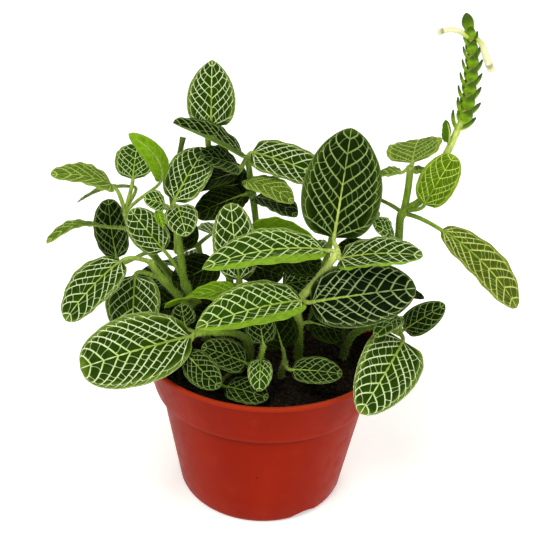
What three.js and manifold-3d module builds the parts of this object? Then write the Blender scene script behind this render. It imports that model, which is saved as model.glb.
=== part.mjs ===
// A nerve plant in its terracotta-coloured plastic nursery pot, in millimetres.
//
// The pot stands on z = 0 with its axis on the Z axis. -Y is the side that is seen from the
// front, +X is the right-hand side. Every leafy stem is one solid: its stalk, its petioles and
// its blades are joined, and the stalk stands in a plain hole in the soil.

import * as THREE from "three";
import { mergeVertices } from "three/addons/utils/BufferGeometryUtils.js";
import Module from "manifold-3d";

// ---- driving dimensions, mm ----

const CLEARANCE = 0.3; // gap between solids that touch

const POT = {
  height: 80,
  rimRadius: 60,
  rimLip: 2.2, // height of the thicker edge at the top
  bandHeight: 23,
  bandFootRadius: 53.8,
  bandStep: 0.7, // the rounded lower edge of the band
  wallTopRadius: 51,
  baseRadius: 41,
  wall: 1.4,
  floor: 2,
  heelRadius: 3,
  holes: 3,
  holeSize: [14.4, 7.2], // width along the base edge and twice the height above it
  holeDepth: 16,
  holeTurn: -58, // degrees, the first drainage hole's bearing
  sides: 32,
};

const SOIL = { level: 70, mound: 2.5, rings: 3, sides: 28, roughness: 0.9, seed: 7 };

const STEM = { sides: 6, stepsPerSpan: 2, nodeSwell: 1.2, nodeReach: 0.3 };
const HOLE_SIDES = 6; // of the hole in the soil round each stem
const PETIOLE = { radius: 1.1, roundness: 1.15, rise: 0.1, reach: 0.35, steps: 2, longFrom: 16 };
const BLADE = {
  thickness: 0.9,
  endWidth: 1.6,
  arch: 0.06,
  fold: 7,
  ripple: 0.05,
  waves: 9,
  skew: 4,
  fullness: 0.9,
  broad: 0.45,
  taper: 1.12,
  largeWidth: 24,
};
const ROWS = { large: 7, small: 5, bract: 2, largeFrom: 29, smallFrom: 9 };
const BRACT = {
  pairs: 13,
  length: 9,
  width: 5.4,
  lean: 31, // the top pair closes over the bud
  last: 0.95, // where the top pair stands, as a part of the spike
  crowding: 0.95,
  shrink: 0.35,
  root: 0.5,
  shape: { arch: -0.12, fold: 22, ripple: 0 },
};

const VIEWER = [0, -0.9, 0.43]; // a blade whose upper face looks straight at the front
const FRONT_UP = [0, -0.6, 0.8];
const UP = [0, -0.2, 1];

// ---- the leafy stems ----
//
// path: the stalk's points from its foot in the soil to its last node; radius: foot and top.
// Each leaf leaves the stalk at a path point; base and tip are the blade's two ends, wide its
// width, and face the way that its upper side looks. Of its shape, arch bows the midrib
// towards the upper face and sway sideways, both as parts of the length; fold lifts the
// halves and twist turns the blade from base to tip, both in degrees; broad is where the
// blade is widest, as a part of its length, and taper sharpens its tip.

const leaf = (at, base, tip, wide, face, shape = {}) => ({ at, base, tip, wide, face, ...shape });

const STEMS = [
  {
    name: "flowering_stem",
    path: [[36, 8, 58], [38, 8, 76], [45, 6, 100], [53.5, 4, 119], [59, 2, 133], [59.5, 1, 147],
      [67, 0, 154], [71, 0, 163], [74, 0, 172], [77, 0, 180], [79, 0, 187], [81, 0, 194],
      [81.5, 0, 206], [81, 0, 217], [79, 0, 227], [77, 0, 233]],
    radius: [2.1, 1.2],
    nodes: [4, 5],
    spikeFrom: 10,
    leaves: [
      leaf(5, [77, -5, 142], [112, -20, 112], 20, [0.45, -0.7, 0.6], { sway: -0.03, broad: 0.5 }),
      leaf(5, [68, -5, 154], [78.5, -4, 177], 17, [-0.35, -0.85, 0.35], { arch: 0.04, taper: 0.9 }),
      leaf(4, [56, -5, 136], [45, -11, 146], 14, [0, -0.5, 0.85], { arch: 0.1 }),
      leaf(5, [48, 10, 151], [30, 27, 152], 17, UP),
      leaf(3, [47, -4, 128], [30, -11, 132.5], 14, FRONT_UP),
      leaf(3, [61, 1, 107], [73, -6, 107.5], 7, UP),
      leaf(9, [75.5, -1.5, 182], [72.5, -3, 192], 7.5, [-0.6, 0.3, 0.5], { arch: -0.1, fold: 20 }),
      leaf(2, [52, 12, 101], [68, 40, 92], 22, [0.3, 0.2, 0.9]),
    ],
    shoots: [
      {
        path: [[60, 1, 147], [61, 2, 158], [61, 2, 169]],
        radius: [1.6, 1.5],
        nodes: [2],
        leaves: [
          leaf(2, [62, 4, 170], [68, 27, 174], 26, [-0.45, -0.4, 1]),
          leaf(2, [57, 2, 166], [45, 6, 162], 14, [0, 0, 1], { arch: 0.04 }),
          leaf(2, [64, 3, 166], [72, 9, 165], 11, [0, 0, 1], { arch: 0.04 }),
        ],
      },
    ],
  },
  {
    name: "stem_centre_right",
    path: [[16, -8, 58], [16, -9, 76], [15, -17, 96], [14, -26, 114], [22, -24, 125], [30, -20, 136]],
    radius: [2.1, 1.6],
    nodes: [3, 5],
    leaves: [
      leaf(3, [15, -29, 116], [-29, -55, 115], 24, [-0.1, -0.5, 0.85], { fold: 20, taper: 1.6 }),
      leaf(3, [19, -30, 116], [63, -35, 127.5], 28.5, [0.05, -0.8, 0.6]),
      leaf(5, [24, -21, 137], [-28, -36, 133], 23, [0, -0.3, 0.95], { arch: 0.09, fold: 12, taper: 1.5 }),
      leaf(5, [31, -24, 134.5], [64, -36, 143], 21, [0, -0.3, 0.95], { broad: 0.32, taper: 1 }),
      leaf(5, [28, -16, 141], [33.5, 2, 185.5], 35, VIEWER, { arch: 0.04, taper: 1.3, broad: 0.4 }),
      leaf(2, [20, -14, 97], [37, -13, 91], 17, FRONT_UP),
    ],
  },
  {
    name: "stem_centre",
    path: [[-6, -4, 58], [-7, -5, 76], [-10, -10, 98], [-13, -14, 115], [-12, -2, 124]],
    radius: [1.9, 1.3],
    nodes: [2, 3],
    leaves: [
      leaf(3, [-13, -15, 118], [-18, -5, 151], 20, [-0.05, -0.95, 0.3], { taper: 0.95 }),
      leaf(4, [-14, 4, 130], [21, -2, 133], 18, [0, 0.7, 0.7], { arch: 0.17 }),
      leaf(3, [-14, -18, 114], [-46, -24, 107], 14, [0, 0.15, 1], { twist: 95 }),
      leaf(2, [-15, -13, 100], [-37, -20, 97], 16, FRONT_UP),
    ],
  },
  {
    name: "plantlet_front",
    path: [[-1, -30, 60], [-1, -31, 76], [-2, -34, 88], [-1, -37, 97]],
    radius: [1.5, 1.2],
    nodes: [2, 3],
    leaves: [
      leaf(3, [-1, -37, 98], [-4, -32, 113], 13, VIEWER),
      leaf(2, [-2, -36, 90], [-2, -47, 80], 11, [0, -0.6, 0.8], { arch: 0.14 }),
      leaf(2, [-8, -36, 87], [-28, -38, 96], 15, FRONT_UP),
    ],
  },
  {
    name: "plantlet_right",
    path: [[8, -22, 60], [8, -24, 76], [9, -29, 84]],
    radius: [1.5, 1.2],
    nodes: [2],
    leaves: [
      leaf(2, [12, -38, 86], [34, -43, 88], 13, FRONT_UP),
      leaf(2, [8, -24, 88], [2, -20, 106], 19, VIEWER),
    ],
  },
  {
    name: "stem_low_left",
    path: [[-6, -16, 58], [-7, -18, 77], [-10, -25, 94], [-22, -33, 101], [-31, -35, 101]],
    radius: [1.9, 1.5],
    nodes: [3, 4],
    leaves: [
      leaf(4, [-33, -36, 100], [-79, -50, 90], 32, [-0.1, -0.75, 0.65], { taper: 0.95, broad: 0.5 }),
      leaf(4, [-34, -40, 93], [-19, -51, 84], 14, [-0.2, -0.8, 0.55], { arch: 0.1 }),
      leaf(4, [-36, -29, 101], [-38, -27, 111], 11, VIEWER),
      leaf(1, [-17, -40, 77], [2, -46, 76], 15, [0, -0.35, 0.95], { arch: 0.04 }),
    ],
  },
  {
    name: "stem_low_right",
    path: [[37, -5, 58], [38, -5, 76], [42, -7, 88], [52, -13, 96], [61, -20, 97]],
    radius: [1.9, 1.5],
    nodes: [4],
    leaves: [
      leaf(4, [62, -25, 95.5], [41, -60, 79.5], 28, [0.2, -0.6, 0.78], { arch: 0.08, broad: 0.34 }),
      leaf(4, [63, -19, 98], [79, -23, 114], 13, [0.3, -0.6, 0.7], { broad: 0.42 }),
      leaf(4, [60, -23, 106.5], [47, -38, 104.5], 9, [-0.3, -0.6, 0.7], { arch: 0.08 }),
    ],
  },
  {
    name: "stem_left",
    path: [[-24, -8, 58], [-25, -9, 76], [-36, -9, 98], [-48, -10, 114], [-54, -10, 123]],
    radius: [1.9, 1.4],
    nodes: [2, 3, 4],
    leaves: [
      leaf(4, [-66, -15, 125], [-88, -34, 104], 22, [-0.3, -0.65, 0.7], { arch: 0.08 }),
      leaf(3, [-61, -9, 115], [-60, -27, 92], 25, [0, -0.8, 0.55], { arch: 0.08 }),
      leaf(2, [-40, -15, 98], [-56, -30, 86], 18, FRONT_UP),
    ],
  },
  {
    name: "stem_upper_left",
    path: [[-30, 8, 58], [-31, 8, 76], [-42, 10, 98], [-56, 10, 118], [-65, 8, 130], [-67, 6, 140]],
    radius: [1.9, 1.4],
    nodes: [2, 3, 4, 5],
    leaves: [
      leaf(5, [-73, 6, 153], [-97, -7, 161.5], 19, [0, -0.3, 1], { arch: 0.08, broad: 0.3, taper: 1 }),
      leaf(5, [-64, 11, 154.5], [-64, 28, 166], 18.5, [0, -0.55, 0.85], { taper: 0.85 }),
      leaf(5, [-50.5, 6, 156], [-62, -8, 182], 10, [-0.45, 0.7, -0.15], { arch: -0.18, sway: -0.08 }),
      leaf(5, [-66, 19, 148], [-91, 12, 141], 14, [0, 0.35, 0.95], { arch: 0.1 }),
      leaf(4, [-79, 12, 130], [-102, -4, 127], 16, [0, 0.22, 0.97], { arch: 0.14 }),
      leaf(3, [-75, 22, 109], [-80, 32, 136], 18, [-0.2, -0.9, 0.4], { taper: 0.9 }),
      leaf(2, [-48, 18, 98], [-72, 30, 92], 22, UP, { arch: 0.1 }),
      leaf(2, [-43, 5, 96], [-56, 3, 91], 18, FRONT_UP),
    ],
  },
  {
    name: "stem_fan",
    path: [[-20, 0, 58], [-21, 0, 76], [-30, -4, 95], [-38, -7, 110], [-41, -3, 126], [-44, 1, 143]],
    radius: [2.1, 1.6],
    nodes: [3, 5],
    leaves: [
      leaf(3, [-48, -6, 127], [-64, 2, 143], 17, [-0.2, -0.85, 0.5], { arch: 0.04 }),
      leaf(5, [-44, 2, 148], [-31, 20, 168], 21, [-0.2, -0.8, 0.55]),
      leaf(5, [-42, -1, 147], [-37, -14, 138], 15, FRONT_UP, { arch: 0.12 }),
      leaf(5, [-48, 0, 147], [-57, -4, 151], 11, FRONT_UP),
      leaf(5, [-51, -4, 146], [-48, -7, 139], 5, FRONT_UP, { fold: 20 }),
    ],
    shoots: [
      {
        path: [[-44, 1, 143], [-46, 10, 150], [-44, 19, 161], [-42, 22, 172]],
        radius: [1.4, 1.2],
        nodes: [3],
        leaves: [],
      },
    ],
  },
  {
    name: "stem_tall",
    path: [[-14, 14, 58], [-15, 14, 76], [-20, 16, 110], [-26, 20, 145], [-30, 23, 166], [-31, 21, 178]],
    radius: [2.1, 1.3],
    nodes: [2, 3, 5],
    leaves: [
      leaf(5, [-29, 22, 177.5], [-29.5, 32, 206], 22.5, VIEWER, { taper: 1.5, broad: 0.36 }),
      leaf(3, [-26, 29, 145], [-10, 37, 146], 22, VIEWER),
      leaf(2, [-25, 13, 112], [-45, 3, 104], 20, FRONT_UP),
      leaf(2, [-14, 14, 113], [7, 10, 108], 20, FRONT_UP),
    ],
  },
  {
    name: "stem_back_centre",
    path: [[2, 20, 58], [1, 20, 76], [-4, 22, 110], [-9, 23, 145], [-12, 24, 163]],
    radius: [2.1, 1.4],
    nodes: [2, 3, 4],
    leaves: [
      leaf(4, [-14, 18, 165.5], [-44, 0, 185], 21, [0.2, -0.15, 0.95], { arch: 0.02, fold: 24, broad: 0.34 }),
      leaf(4, [-10, 25, 165], [29, 16, 154], 21, [0.1, -0.6, 0.8], { broad: 0.36 }),
      leaf(4, [-16, 18, 160], [-33, 8, 168], 16, [0, -0.5, 0.85]),
      leaf(4, [-17, 17, 157], [-37, 7, 151], 15, UP),
      leaf(3, [-12, 15, 154], [10, 3, 149], 16, [0.1, -0.3, 0.95], { arch: 0.1 }),
      leaf(3, [-8, 17, 145.5], [12, 5, 141.5], 17, [0, -0.15, 1], { arch: 0.1 }),
      leaf(3, [-13, 16, 147], [-35, 7, 139], 17, FRONT_UP),
      leaf(2, [2, 26, 112], [26, 22, 108], 20, FRONT_UP),
      leaf(2, [-7, 30, 112], [-8, 56, 106], 20, [0, 0.3, 0.95]),
    ],
  },
  {
    name: "stem_back_right",
    path: [[22, 24, 58], [23, 24, 76], [28, 28, 105], [32, 30, 130]],
    radius: [1.9, 1.4],
    nodes: [2, 3],
    leaves: [
      leaf(3, [32, 28, 136], [34, 36, 166], 20, VIEWER),
      leaf(3, [38, 36, 131], [50, 62, 118], 24, [0.3, 0.6, 0.75], { arch: 0.1 }),
      leaf(2, [34, 27, 106], [64, 24, 104], 20, [0.2, 0, 1], { arch: 0.1 }),
      leaf(2, [24, 36, 108], [12, 70, 98], 24, [0, 0.4, 0.9], { arch: 0.1 }),
      leaf(1, [34, 30, 86], [60, 48, 86], 22, [0.1, 0.1, 1], { arch: 0.12 }),
    ],
  },
  {
    name: "stem_back_left",
    path: [[-24, 26, 58], [-25, 26, 76], [-32, 31, 96], [-36, 34, 112]],
    radius: [1.9, 1.4],
    nodes: [2, 3],
    leaves: [
      leaf(3, [-47, 29, 111], [-48, 33, 130], 25, VIEWER),
      leaf(3, [-42, 37, 115], [-70, 48, 106], 24, [-0.3, 0, 1], { arch: 0.1 }),
      leaf(3, [-30, 42, 115], [-18, 74, 102], 25, [0, 0.4, 0.9], { arch: 0.1 }),
      leaf(2, [-38, 40, 97], [-58, 68, 84], 24, [-0.3, 0.3, 0.9], { arch: 0.1 }),
    ],
  },
  {
    name: "stem_back",
    path: [[2, 40, 58], [2, 41, 76], [0, 46, 90]],
    radius: [1.7, 1.3],
    nodes: [2],
    leaves: [
      leaf(2, [4, 50, 91], [26, 78, 83], 22, [0.3, 0.4, 0.85], { arch: 0.12 }),
      leaf(2, [-5, 51, 91], [-24, 84, 82], 23, [-0.2, 0.4, 0.9], { arch: 0.12 }),
      leaf(1, [8, 41, 88], [31, 47, 89], 20, FRONT_UP),
    ],
  },
];

// The two open flowers: each a thin curved tube out of its bract, with a small spread lip.
const FLOWERS = [
  {
    name: "flower_left",
    path: [[77.5, -2.8, 226.8], [73, -4, 229.5], [69, -5, 230], [66, -6, 229.5]],
    lip: [-1, -0.3, -0.3],
  },
  {
    name: "flower_right",
    path: [[81.3, -2.8, 226.7], [84, -3.5, 223.5], [85.5, -4, 220], [87.5, -5, 216]],
    lip: [0.5, -0.3, -0.8],
  },
];
const FLOWER = {
  radius: [0.8, 1.1],
  sides: 6,
  steps: 5,
  lipLength: 2.8,
  lipWidth: 2,
  lipRoot: 0.2,
  lobes: 3,
  spread: 34,
  shape: { face: [0, -1, 0.1], fold: 4, ripple: 0 },
};

// ---- colours ----

const COLOURS = {
  pot: 0xa32c1c,
  soil: 0x1d1712,
  foliage: 0x4a7a1f,
  flower: 0xf0edc4,
};

function material(colour, roughness) {
  return new THREE.MeshStandardMaterial({ color: colour, roughness, metalness: 0 });
}

const FINISH = {
  pot: material(COLOURS.pot, 0.45),
  soil: material(COLOURS.soil, 0.95),
  foliage: material(COLOURS.foliage, 0.6),
  flower: material(COLOURS.flower, 0.6),
};

// ---- solids ----

const wasm = await Module();
wasm.setup();

const vector = (p) => new THREE.Vector3(...p);

function randomSource(seed) {
  let state = seed;
  return () => {
    state = (state * 1664525 + 1013904223) % 4294967296;
    return state / 4294967296;
  };
}

function solidOf(geometry) {
  const bare = geometry.clone();
  bare.deleteAttribute("normal");
  bare.deleteAttribute("uv");
  const merged = mergeVertices(bare, 1e-4);
  const mesh = new wasm.Mesh({
    numProp: 3,
    vertProperties: new Float32Array(merged.attributes.position.array),
    triVerts: new Uint32Array(merged.index.array),
  });
  return new wasm.Manifold(mesh);
}

function geometryOf(solid) {
  const mesh = solid.getMesh();
  const geometry = new THREE.BufferGeometry();
  geometry.setAttribute("position", new THREE.BufferAttribute(mesh.vertProperties, 3));
  geometry.setIndex(new THREE.BufferAttribute(mesh.triVerts, 1));
  return geometry;
}

// A closed skin over a row of rings with equally many points. The far half of each ring has
// its squares split the other way, so that both faces of a flat blade are split alike.
function loft(rings) {
  const size = rings[0].length;
  const half = size / 2;
  const positions = rings.flat().flatMap((p) => [p.x, p.y, p.z]);
  const triangles = [];
  for (let row = 0; row < rings.length - 1; row++) {
    for (let k = 0; k < size; k++) {
      const a = row * size + k;
      const b = row * size + (k + 1) % size;
      const c = b + size;
      const d = a + size;
      if (k < half - 0.5) triangles.push(a, b, c, a, c, d);
      else triangles.push(a, b, d, b, c, d);
    }
  }
  const last = (rings.length - 1) * size;
  for (let k = 0; k < Math.ceil(half) - 1; k++) {
    const corners = [k, k + 1, size - 2 - k, size - 1 - k];
    const [a, b, c, d] = corners;
    triangles.push(a, c, b);
    triangles.push(last + a, last + b, last + c);
    if (c !== d) {
      triangles.push(a, d, c);
      triangles.push(last + a, last + c, last + d);
    }
  }
  const geometry = new THREE.BufferGeometry();
  geometry.setAttribute("position", new THREE.Float32BufferAttribute(positions, 3));
  geometry.setIndex(triangles);
  return geometry;
}

// A round stalk along the points, with the radius given along its length from 0 to 1.
function stalk(points, radiusAt, sides, steps) {
  const curve = new THREE.CatmullRomCurve3(points, false, "centripetal");
  const frames = curve.computeFrenetFrames(steps, false);
  const rings = [];
  for (let i = 0; i <= steps; i++) {
    const centre = curve.getPointAt(i / steps);
    const radius = radiusAt(i / steps);
    const ring = [];
    for (let k = 0; k < sides; k++) {
      const angle = (k / sides) * 2 * Math.PI;
      ring.push(centre.clone()
        .addScaledVector(frames.normals[i], radius * Math.cos(angle))
        .addScaledVector(frames.binormals[i], radius * Math.sin(angle)));
    }
    rings.push(ring);
  }
  return loft(rings);
}

// The frame and the midrib of a blade.
function bladeFrame(leaf) {
  const base = vector(leaf.base);
  const along = vector(leaf.tip).sub(base);
  const length = along.length();
  const axis = along.clone().normalize();
  const face = vector(leaf.face);
  const normal = face.addScaledVector(axis, -face.dot(axis)).normalize();
  const side = new THREE.Vector3().crossVectors(axis, normal);
  const arch = leaf.arch ?? BLADE.arch;
  const sway = leaf.sway ?? 0;
  const midrib = (u) => {
    const bow = 4 * u * (1 - u) * length;
    return base.clone()
      .addScaledVector(along, u)
      .addScaledVector(normal, arch * bow)
      .addScaledVector(side, sway * bow);
  };
  const slope = (u) => {
    const lean = 4 * (1 - 2 * u);
    return axis.clone().addScaledVector(normal, arch * lean).addScaledVector(side, sway * lean).normalize();
  };
  const upward = (u) => {
    const tangent = slope(u);
    const level = normal.clone().addScaledVector(tangent, -normal.dot(tangent)).normalize();
    return level.applyAxisAngle(tangent, THREE.MathUtils.degToRad((leaf.twist ?? 0) * (u - 0.5)));
  };
  return { length, midrib, slope, upward };
}

function halfWidth(leaf, u) {
  const place = u ** (Math.log(0.5) / Math.log(leaf.broad ?? BLADE.broad));
  const ellipse = 2 * Math.sqrt(Math.max(place * (1 - place), 0));
  const fullness = THREE.MathUtils.lerp(BLADE.fullness, leaf.taper ?? BLADE.taper, u);
  return Math.max(leaf.wide / 2 * ellipse ** fullness, BLADE.endWidth / 2);
}

function rowsFor(length) {
  if (length < ROWS.smallFrom) return ROWS.bract;
  return length < ROWS.largeFrom ? ROWS.small : ROWS.large;
}

// The places across a blade, from its left edge to its right one.
function cutsFor(leaf) {
  return leaf.wide < BLADE.largeWidth ? [-1, 0, 1] : [-1, -0.5, 0, 0.5, 1];
}

// One ring of a blade at the part u of its length.
function bladeRing(leaf, frame, u) {
  const fold = THREE.MathUtils.degToRad(leaf.fold ?? BLADE.fold);
  const ripple = leaf.ripple ?? BLADE.ripple;
  const centre = frame.midrib(u);
  const up = frame.upward(u);
  const out = new THREE.Vector3().crossVectors(frame.slope(u), up);
  const half = halfWidth(leaf, u);
  const across = cutsFor(leaf).map((v) => {
    const wave = ripple * v * v * Math.sin(BLADE.waves * u + BLADE.skew * v);
    const lift = half * (Math.abs(v) * Math.sin(fold) + wave);
    return centre.clone().addScaledVector(out, half * v * Math.cos(fold)).addScaledVector(up, lift);
  });
  const top = across.map((p) => p.clone().addScaledVector(up, BLADE.thickness / 2));
  const under = across.map((p) => p.clone().addScaledVector(up, -BLADE.thickness / 2));
  return [...top, ...under.reverse()];
}

// The rings of a leaf blade: rounded at the base, blunt at the tip, folded about its midrib.
function bladeRings(leaf) {
  const frame = bladeFrame(leaf);
  const rows = rowsFor(frame.length);
  const rings = [];
  for (let row = 0; row <= rows; row++) {
    rings.push(bladeRing(leaf, frame, (1 - Math.cos(Math.PI * row / rows)) / 2));
  }
  return rings;
}

// A blade without a stalk, for the bracts and the lips of the flowers.
function bladeSolid(base, tip, wide, shape) {
  return solidOf(loft(bladeRings({ base: base.toArray(), tip: tip.toArray(), wide, ...shape })));
}

// The rings of the leaf stalk, from the middle of its node up to the foot of the blade.
function petioleRings(node, leaf) {
  const frame = bladeFrame(leaf);
  const base = vector(leaf.base);
  const reach = node.distanceTo(base);
  const leave = node.clone().lerp(base, PETIOLE.reach);
  leave.z += PETIOLE.rise * reach;
  const arrive = base.clone().addScaledVector(frame.slope(0), -PETIOLE.reach * reach);
  const curve = new THREE.CubicBezierCurve3(node, leave, arrive, base);
  const steps = PETIOLE.steps + (reach > PETIOLE.longFrom ? 1 : 0);
  const turn = new THREE.Quaternion();
  let tangent = frame.slope(0);
  let up = frame.upward(0);
  const rings = [];
  for (let i = steps - 1; i >= 0; i--) {
    const t = i / steps;
    const next = curve.getTangent(t);
    up = up.clone().applyQuaternion(turn.setFromUnitVectors(tangent, next));
    tangent = next;
    const out = new THREE.Vector3().crossVectors(tangent, up);
    const centre = curve.getPoint(t);
    const edge = (v, side) => centre.clone()
      .addScaledVector(out, PETIOLE.radius * v)
      .addScaledVector(up, side * PETIOLE.radius * Math.sqrt(PETIOLE.roundness - v * v));
    const top = cutsFor(leaf).map((v) => edge(v, 1));
    const under = cutsFor(leaf).map((v) => edge(v, -1));
    rings.unshift([...top, ...under.reverse()]);
  }
  return rings;
}

// One leaf as a single skin: its stalk, rooted in the node, runs on into the blade.
function leafSolid(node, leaf) {
  return solidOf(loft([...petioleRings(node, leaf), ...bladeRings(leaf)]));
}

function stemRadius(stem, t) {
  const span = t * (stem.path.length - 1);
  const taper = THREE.MathUtils.lerp(stem.radius[0], stem.radius[1], t);
  const near = Math.min(...stem.nodes.map((node) => Math.abs(node - span)), 1);
  return near < STEM.nodeReach ? taper * STEM.nodeSwell : taper;
}

// One leafy shoot as a list of solids: its stalk, then each leaf.
function shootSolids(stem) {
  const points = stem.path.map(vector);
  const steps = STEM.stepsPerSpan * (points.length - 1);
  const solids = [solidOf(stalk(points, (t) => stemRadius(stem, t), STEM.sides, steps))];
  for (const item of stem.leaves) solids.push(leafSolid(points[item.at], item));
  for (const shoot of stem.shoots ?? []) solids.push(...shootSolids(shoot));
  return solids;
}

// The bracts of the flower spike: pairs set crosswise, closer and smaller towards the top.
function spikeBracts(stem) {
  const points = stem.path.slice(stem.spikeFrom).map(vector);
  const curve = new THREE.CatmullRomCurve3(points, false, "centripetal");
  const bracts = [];
  for (let pair = 0; pair < BRACT.pairs; pair++) {
    const t = BRACT.last * (pair / (BRACT.pairs - 1)) ** BRACT.crowding;
    const size = 1 - BRACT.shrink * t;
    const lean = THREE.MathUtils.degToRad(BRACT.lean * (1 - t ** 4));
    const centre = curve.getPointAt(t);
    const axis = curve.getTangentAt(t);
    for (const turn of [0, Math.PI]) {
      const bearing = turn + (pair % 2) * Math.PI / 2;
      const out = new THREE.Vector3(Math.cos(bearing), Math.sin(bearing), 0);
      out.addScaledVector(axis, -out.dot(axis)).normalize();
      const foot = centre.clone().addScaledVector(out, BRACT.root);
      const tip = foot.clone()
        .addScaledVector(axis, BRACT.length * size * Math.cos(lean))
        .addScaledVector(out, BRACT.length * size * Math.sin(lean));
      const face = axis.clone().sub(out);
      bracts.push(bladeSolid(foot, tip, BRACT.width * size, { face: face.toArray(), ...BRACT.shape }));
    }
  }
  return bracts;
}

function leafyStem(stem) {
  const solids = shootSolids(stem);
  if (stem.spikeFrom) solids.push(...spikeBracts(stem));
  return wasm.Manifold.union(solids);
}

function flower(spec) {
  const points = spec.path.map(vector);
  const radiusAt = (t) => THREE.MathUtils.lerp(...FLOWER.radius, t);
  const tube = stalk(points, radiusAt, FLOWER.sides, FLOWER.steps);
  const mouth = points[points.length - 1];
  const inner = mouth.clone().lerp(points[points.length - 2], FLOWER.lipRoot);
  const forward = vector(spec.lip).normalize();
  const solids = [solidOf(tube)];
  for (let lobe = 0; lobe < FLOWER.lobes; lobe++) {
    const turn = THREE.MathUtils.degToRad(FLOWER.spread * (lobe - (FLOWER.lobes - 1) / 2));
    const reach = forward.clone().applyAxisAngle(new THREE.Vector3(0, 1, 0), turn);
    const tip = mouth.clone().addScaledVector(reach, FLOWER.lipLength);
    solids.push(bladeSolid(inner, tip, FLOWER.lipWidth, FLOWER.shape));
  }
  return wasm.Manifold.union(solids);
}

// ---- the pot and its soil ----

function potWallRadius(z) {
  return THREE.MathUtils.lerp(POT.baseRadius, POT.wallTopRadius, z / BAND_FOOT);
}

const BAND_FOOT = POT.height - POT.bandHeight;
const LIP_FOOT = POT.height - POT.rimLip;
const INSIDE = {
  lip: POT.rimRadius - POT.wall - 1,
  band: POT.bandFootRadius - POT.wall,
  bandLevel: BAND_FOOT + 2,
  wallTop: POT.wallTopRadius - POT.wall,
  wallLevel: BAND_FOOT + 0.2,
};

// The pot's section, once round: up the outside, over the rim and down the inside.
function potProfile() {
  const corner = 0.3 * POT.heelRadius;
  const soft = 0.4; // rounding of the rim
  return [
    [0, 0],
    [POT.baseRadius - POT.heelRadius, 0],
    [POT.baseRadius - corner, corner],
    [potWallRadius(POT.heelRadius), POT.heelRadius],
    [POT.wallTopRadius, BAND_FOOT],
    [POT.bandFootRadius - POT.bandStep, BAND_FOOT],
    [POT.bandFootRadius, BAND_FOOT + POT.bandStep],
    [POT.rimRadius - 2 * soft, LIP_FOOT],
    [POT.rimRadius, LIP_FOOT + 2 * soft],
    [POT.rimRadius - soft, POT.height],
    [POT.rimRadius - POT.wall - soft, POT.height],
    [INSIDE.lip, LIP_FOOT],
    [INSIDE.band, INSIDE.bandLevel],
    [INSIDE.wallTop, INSIDE.wallLevel],
    [potWallRadius(POT.floor) - POT.wall, POT.floor],
    [0, POT.floor],
  ].map(([radius, z]) => new THREE.Vector2(radius, z));
}

// One drainage hole: a round notch through the corner between the floor and the wall.
function drainageCutter(bearing) {
  const cutter = new THREE.CylinderGeometry(0.5, 0.5, POT.holeDepth, 12);
  cutter.rotateZ(Math.PI / 2);
  cutter.scale(1, POT.holeSize[0], POT.holeSize[1]);
  cutter.translate(POT.baseRadius, 0, 0);
  cutter.rotateZ(bearing);
  return solidOf(cutter);
}

function pot() {
  const body = solidOf(new THREE.LatheGeometry(potProfile(), POT.sides).rotateX(Math.PI / 2));
  const cutters = [];
  for (let hole = 0; hole < POT.holes; hole++) {
    cutters.push(drainageCutter(THREE.MathUtils.degToRad(POT.holeTurn + hole * 360 / POT.holes)));
  }
  return body.subtract(wasm.Manifold.union(cutters));
}

function soilTop(radius, random) {
  const edge = soilEdgeRadius(SOIL.level);
  const rise = SOIL.mound * (1 - (radius / edge) ** 2);
  return SOIL.level + rise + (random() - 0.5) * 2 * SOIL.roughness;
}

function soilEdgeRadius(z) {
  if (z <= INSIDE.wallLevel) return potWallRadius(Math.min(z, BAND_FOOT)) - POT.wall - CLEARANCE;
  const t = (z - INSIDE.bandLevel) / (LIP_FOOT - INSIDE.bandLevel);
  return THREE.MathUtils.lerp(INSIDE.band, INSIDE.lip, Math.max(t, 0)) - CLEARANCE;
}

// The soil fills the pot; its top is a low uneven mound.
function soil(stems) {
  const random = randomSource(SOIL.seed);
  const rows = [];
  const levels = [POT.floor + CLEARANCE, INSIDE.wallLevel, INSIDE.bandLevel, SOIL.level - 1];
  for (const z of levels) rows.push({ radius: soilEdgeRadius(z), height: () => z });
  for (let ring = 0; ring < SOIL.rings; ring++) {
    const radius = (soilEdgeRadius(SOIL.level) - 1) * (1 - ring / SOIL.rings);
    rows.push({ radius, height: () => soilTop(radius, random) });
  }
  const rings = rows.map(({ radius, height }) => {
    const ring = [];
    for (let k = 0; k < SOIL.sides; k++) {
      const angle = (k / SOIL.sides) * 2 * Math.PI;
      ring.push(new THREE.Vector3(radius * Math.cos(angle), radius * Math.sin(angle), height()));
    }
    return ring;
  });
  const body = solidOf(loft(rings));
  return body.subtract(wasm.Manifold.union(stems.map(stemHole)));
}

// A plain hole that follows the foot of a stem with a small gap round it.
function stemHole(stem) {
  const [foot, ground] = stem.path.slice(0, 2).map(vector);
  const axis = ground.clone().sub(foot).normalize();
  const bottom = foot.clone().addScaledVector(axis, -CLEARANCE);
  const top = ground.clone().addScaledVector(axis, 2);
  const radius = (stem.radius[0] + 2 * CLEARANCE) / Math.cos(Math.PI / HOLE_SIDES);
  return solidOf(stalk([bottom, foot.clone().lerp(top, 0.5), top], () => radius, HOLE_SIDES, 1));
}

// ---- the scene graph ----

const group = new THREE.Group();

function add(name, solid, finish) {
  const mesh = new THREE.Mesh(geometryOf(solid), finish);
  mesh.name = name;
  group.add(mesh);
}

add("pot", pot(), FINISH.pot);
add("soil", soil(STEMS), FINISH.soil);
for (const stem of STEMS) add(stem.name, leafyStem(stem), FINISH.foliage);
for (const spec of FLOWERS) add(spec.name, flower(spec), FINISH.flower);

export default group;
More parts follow.
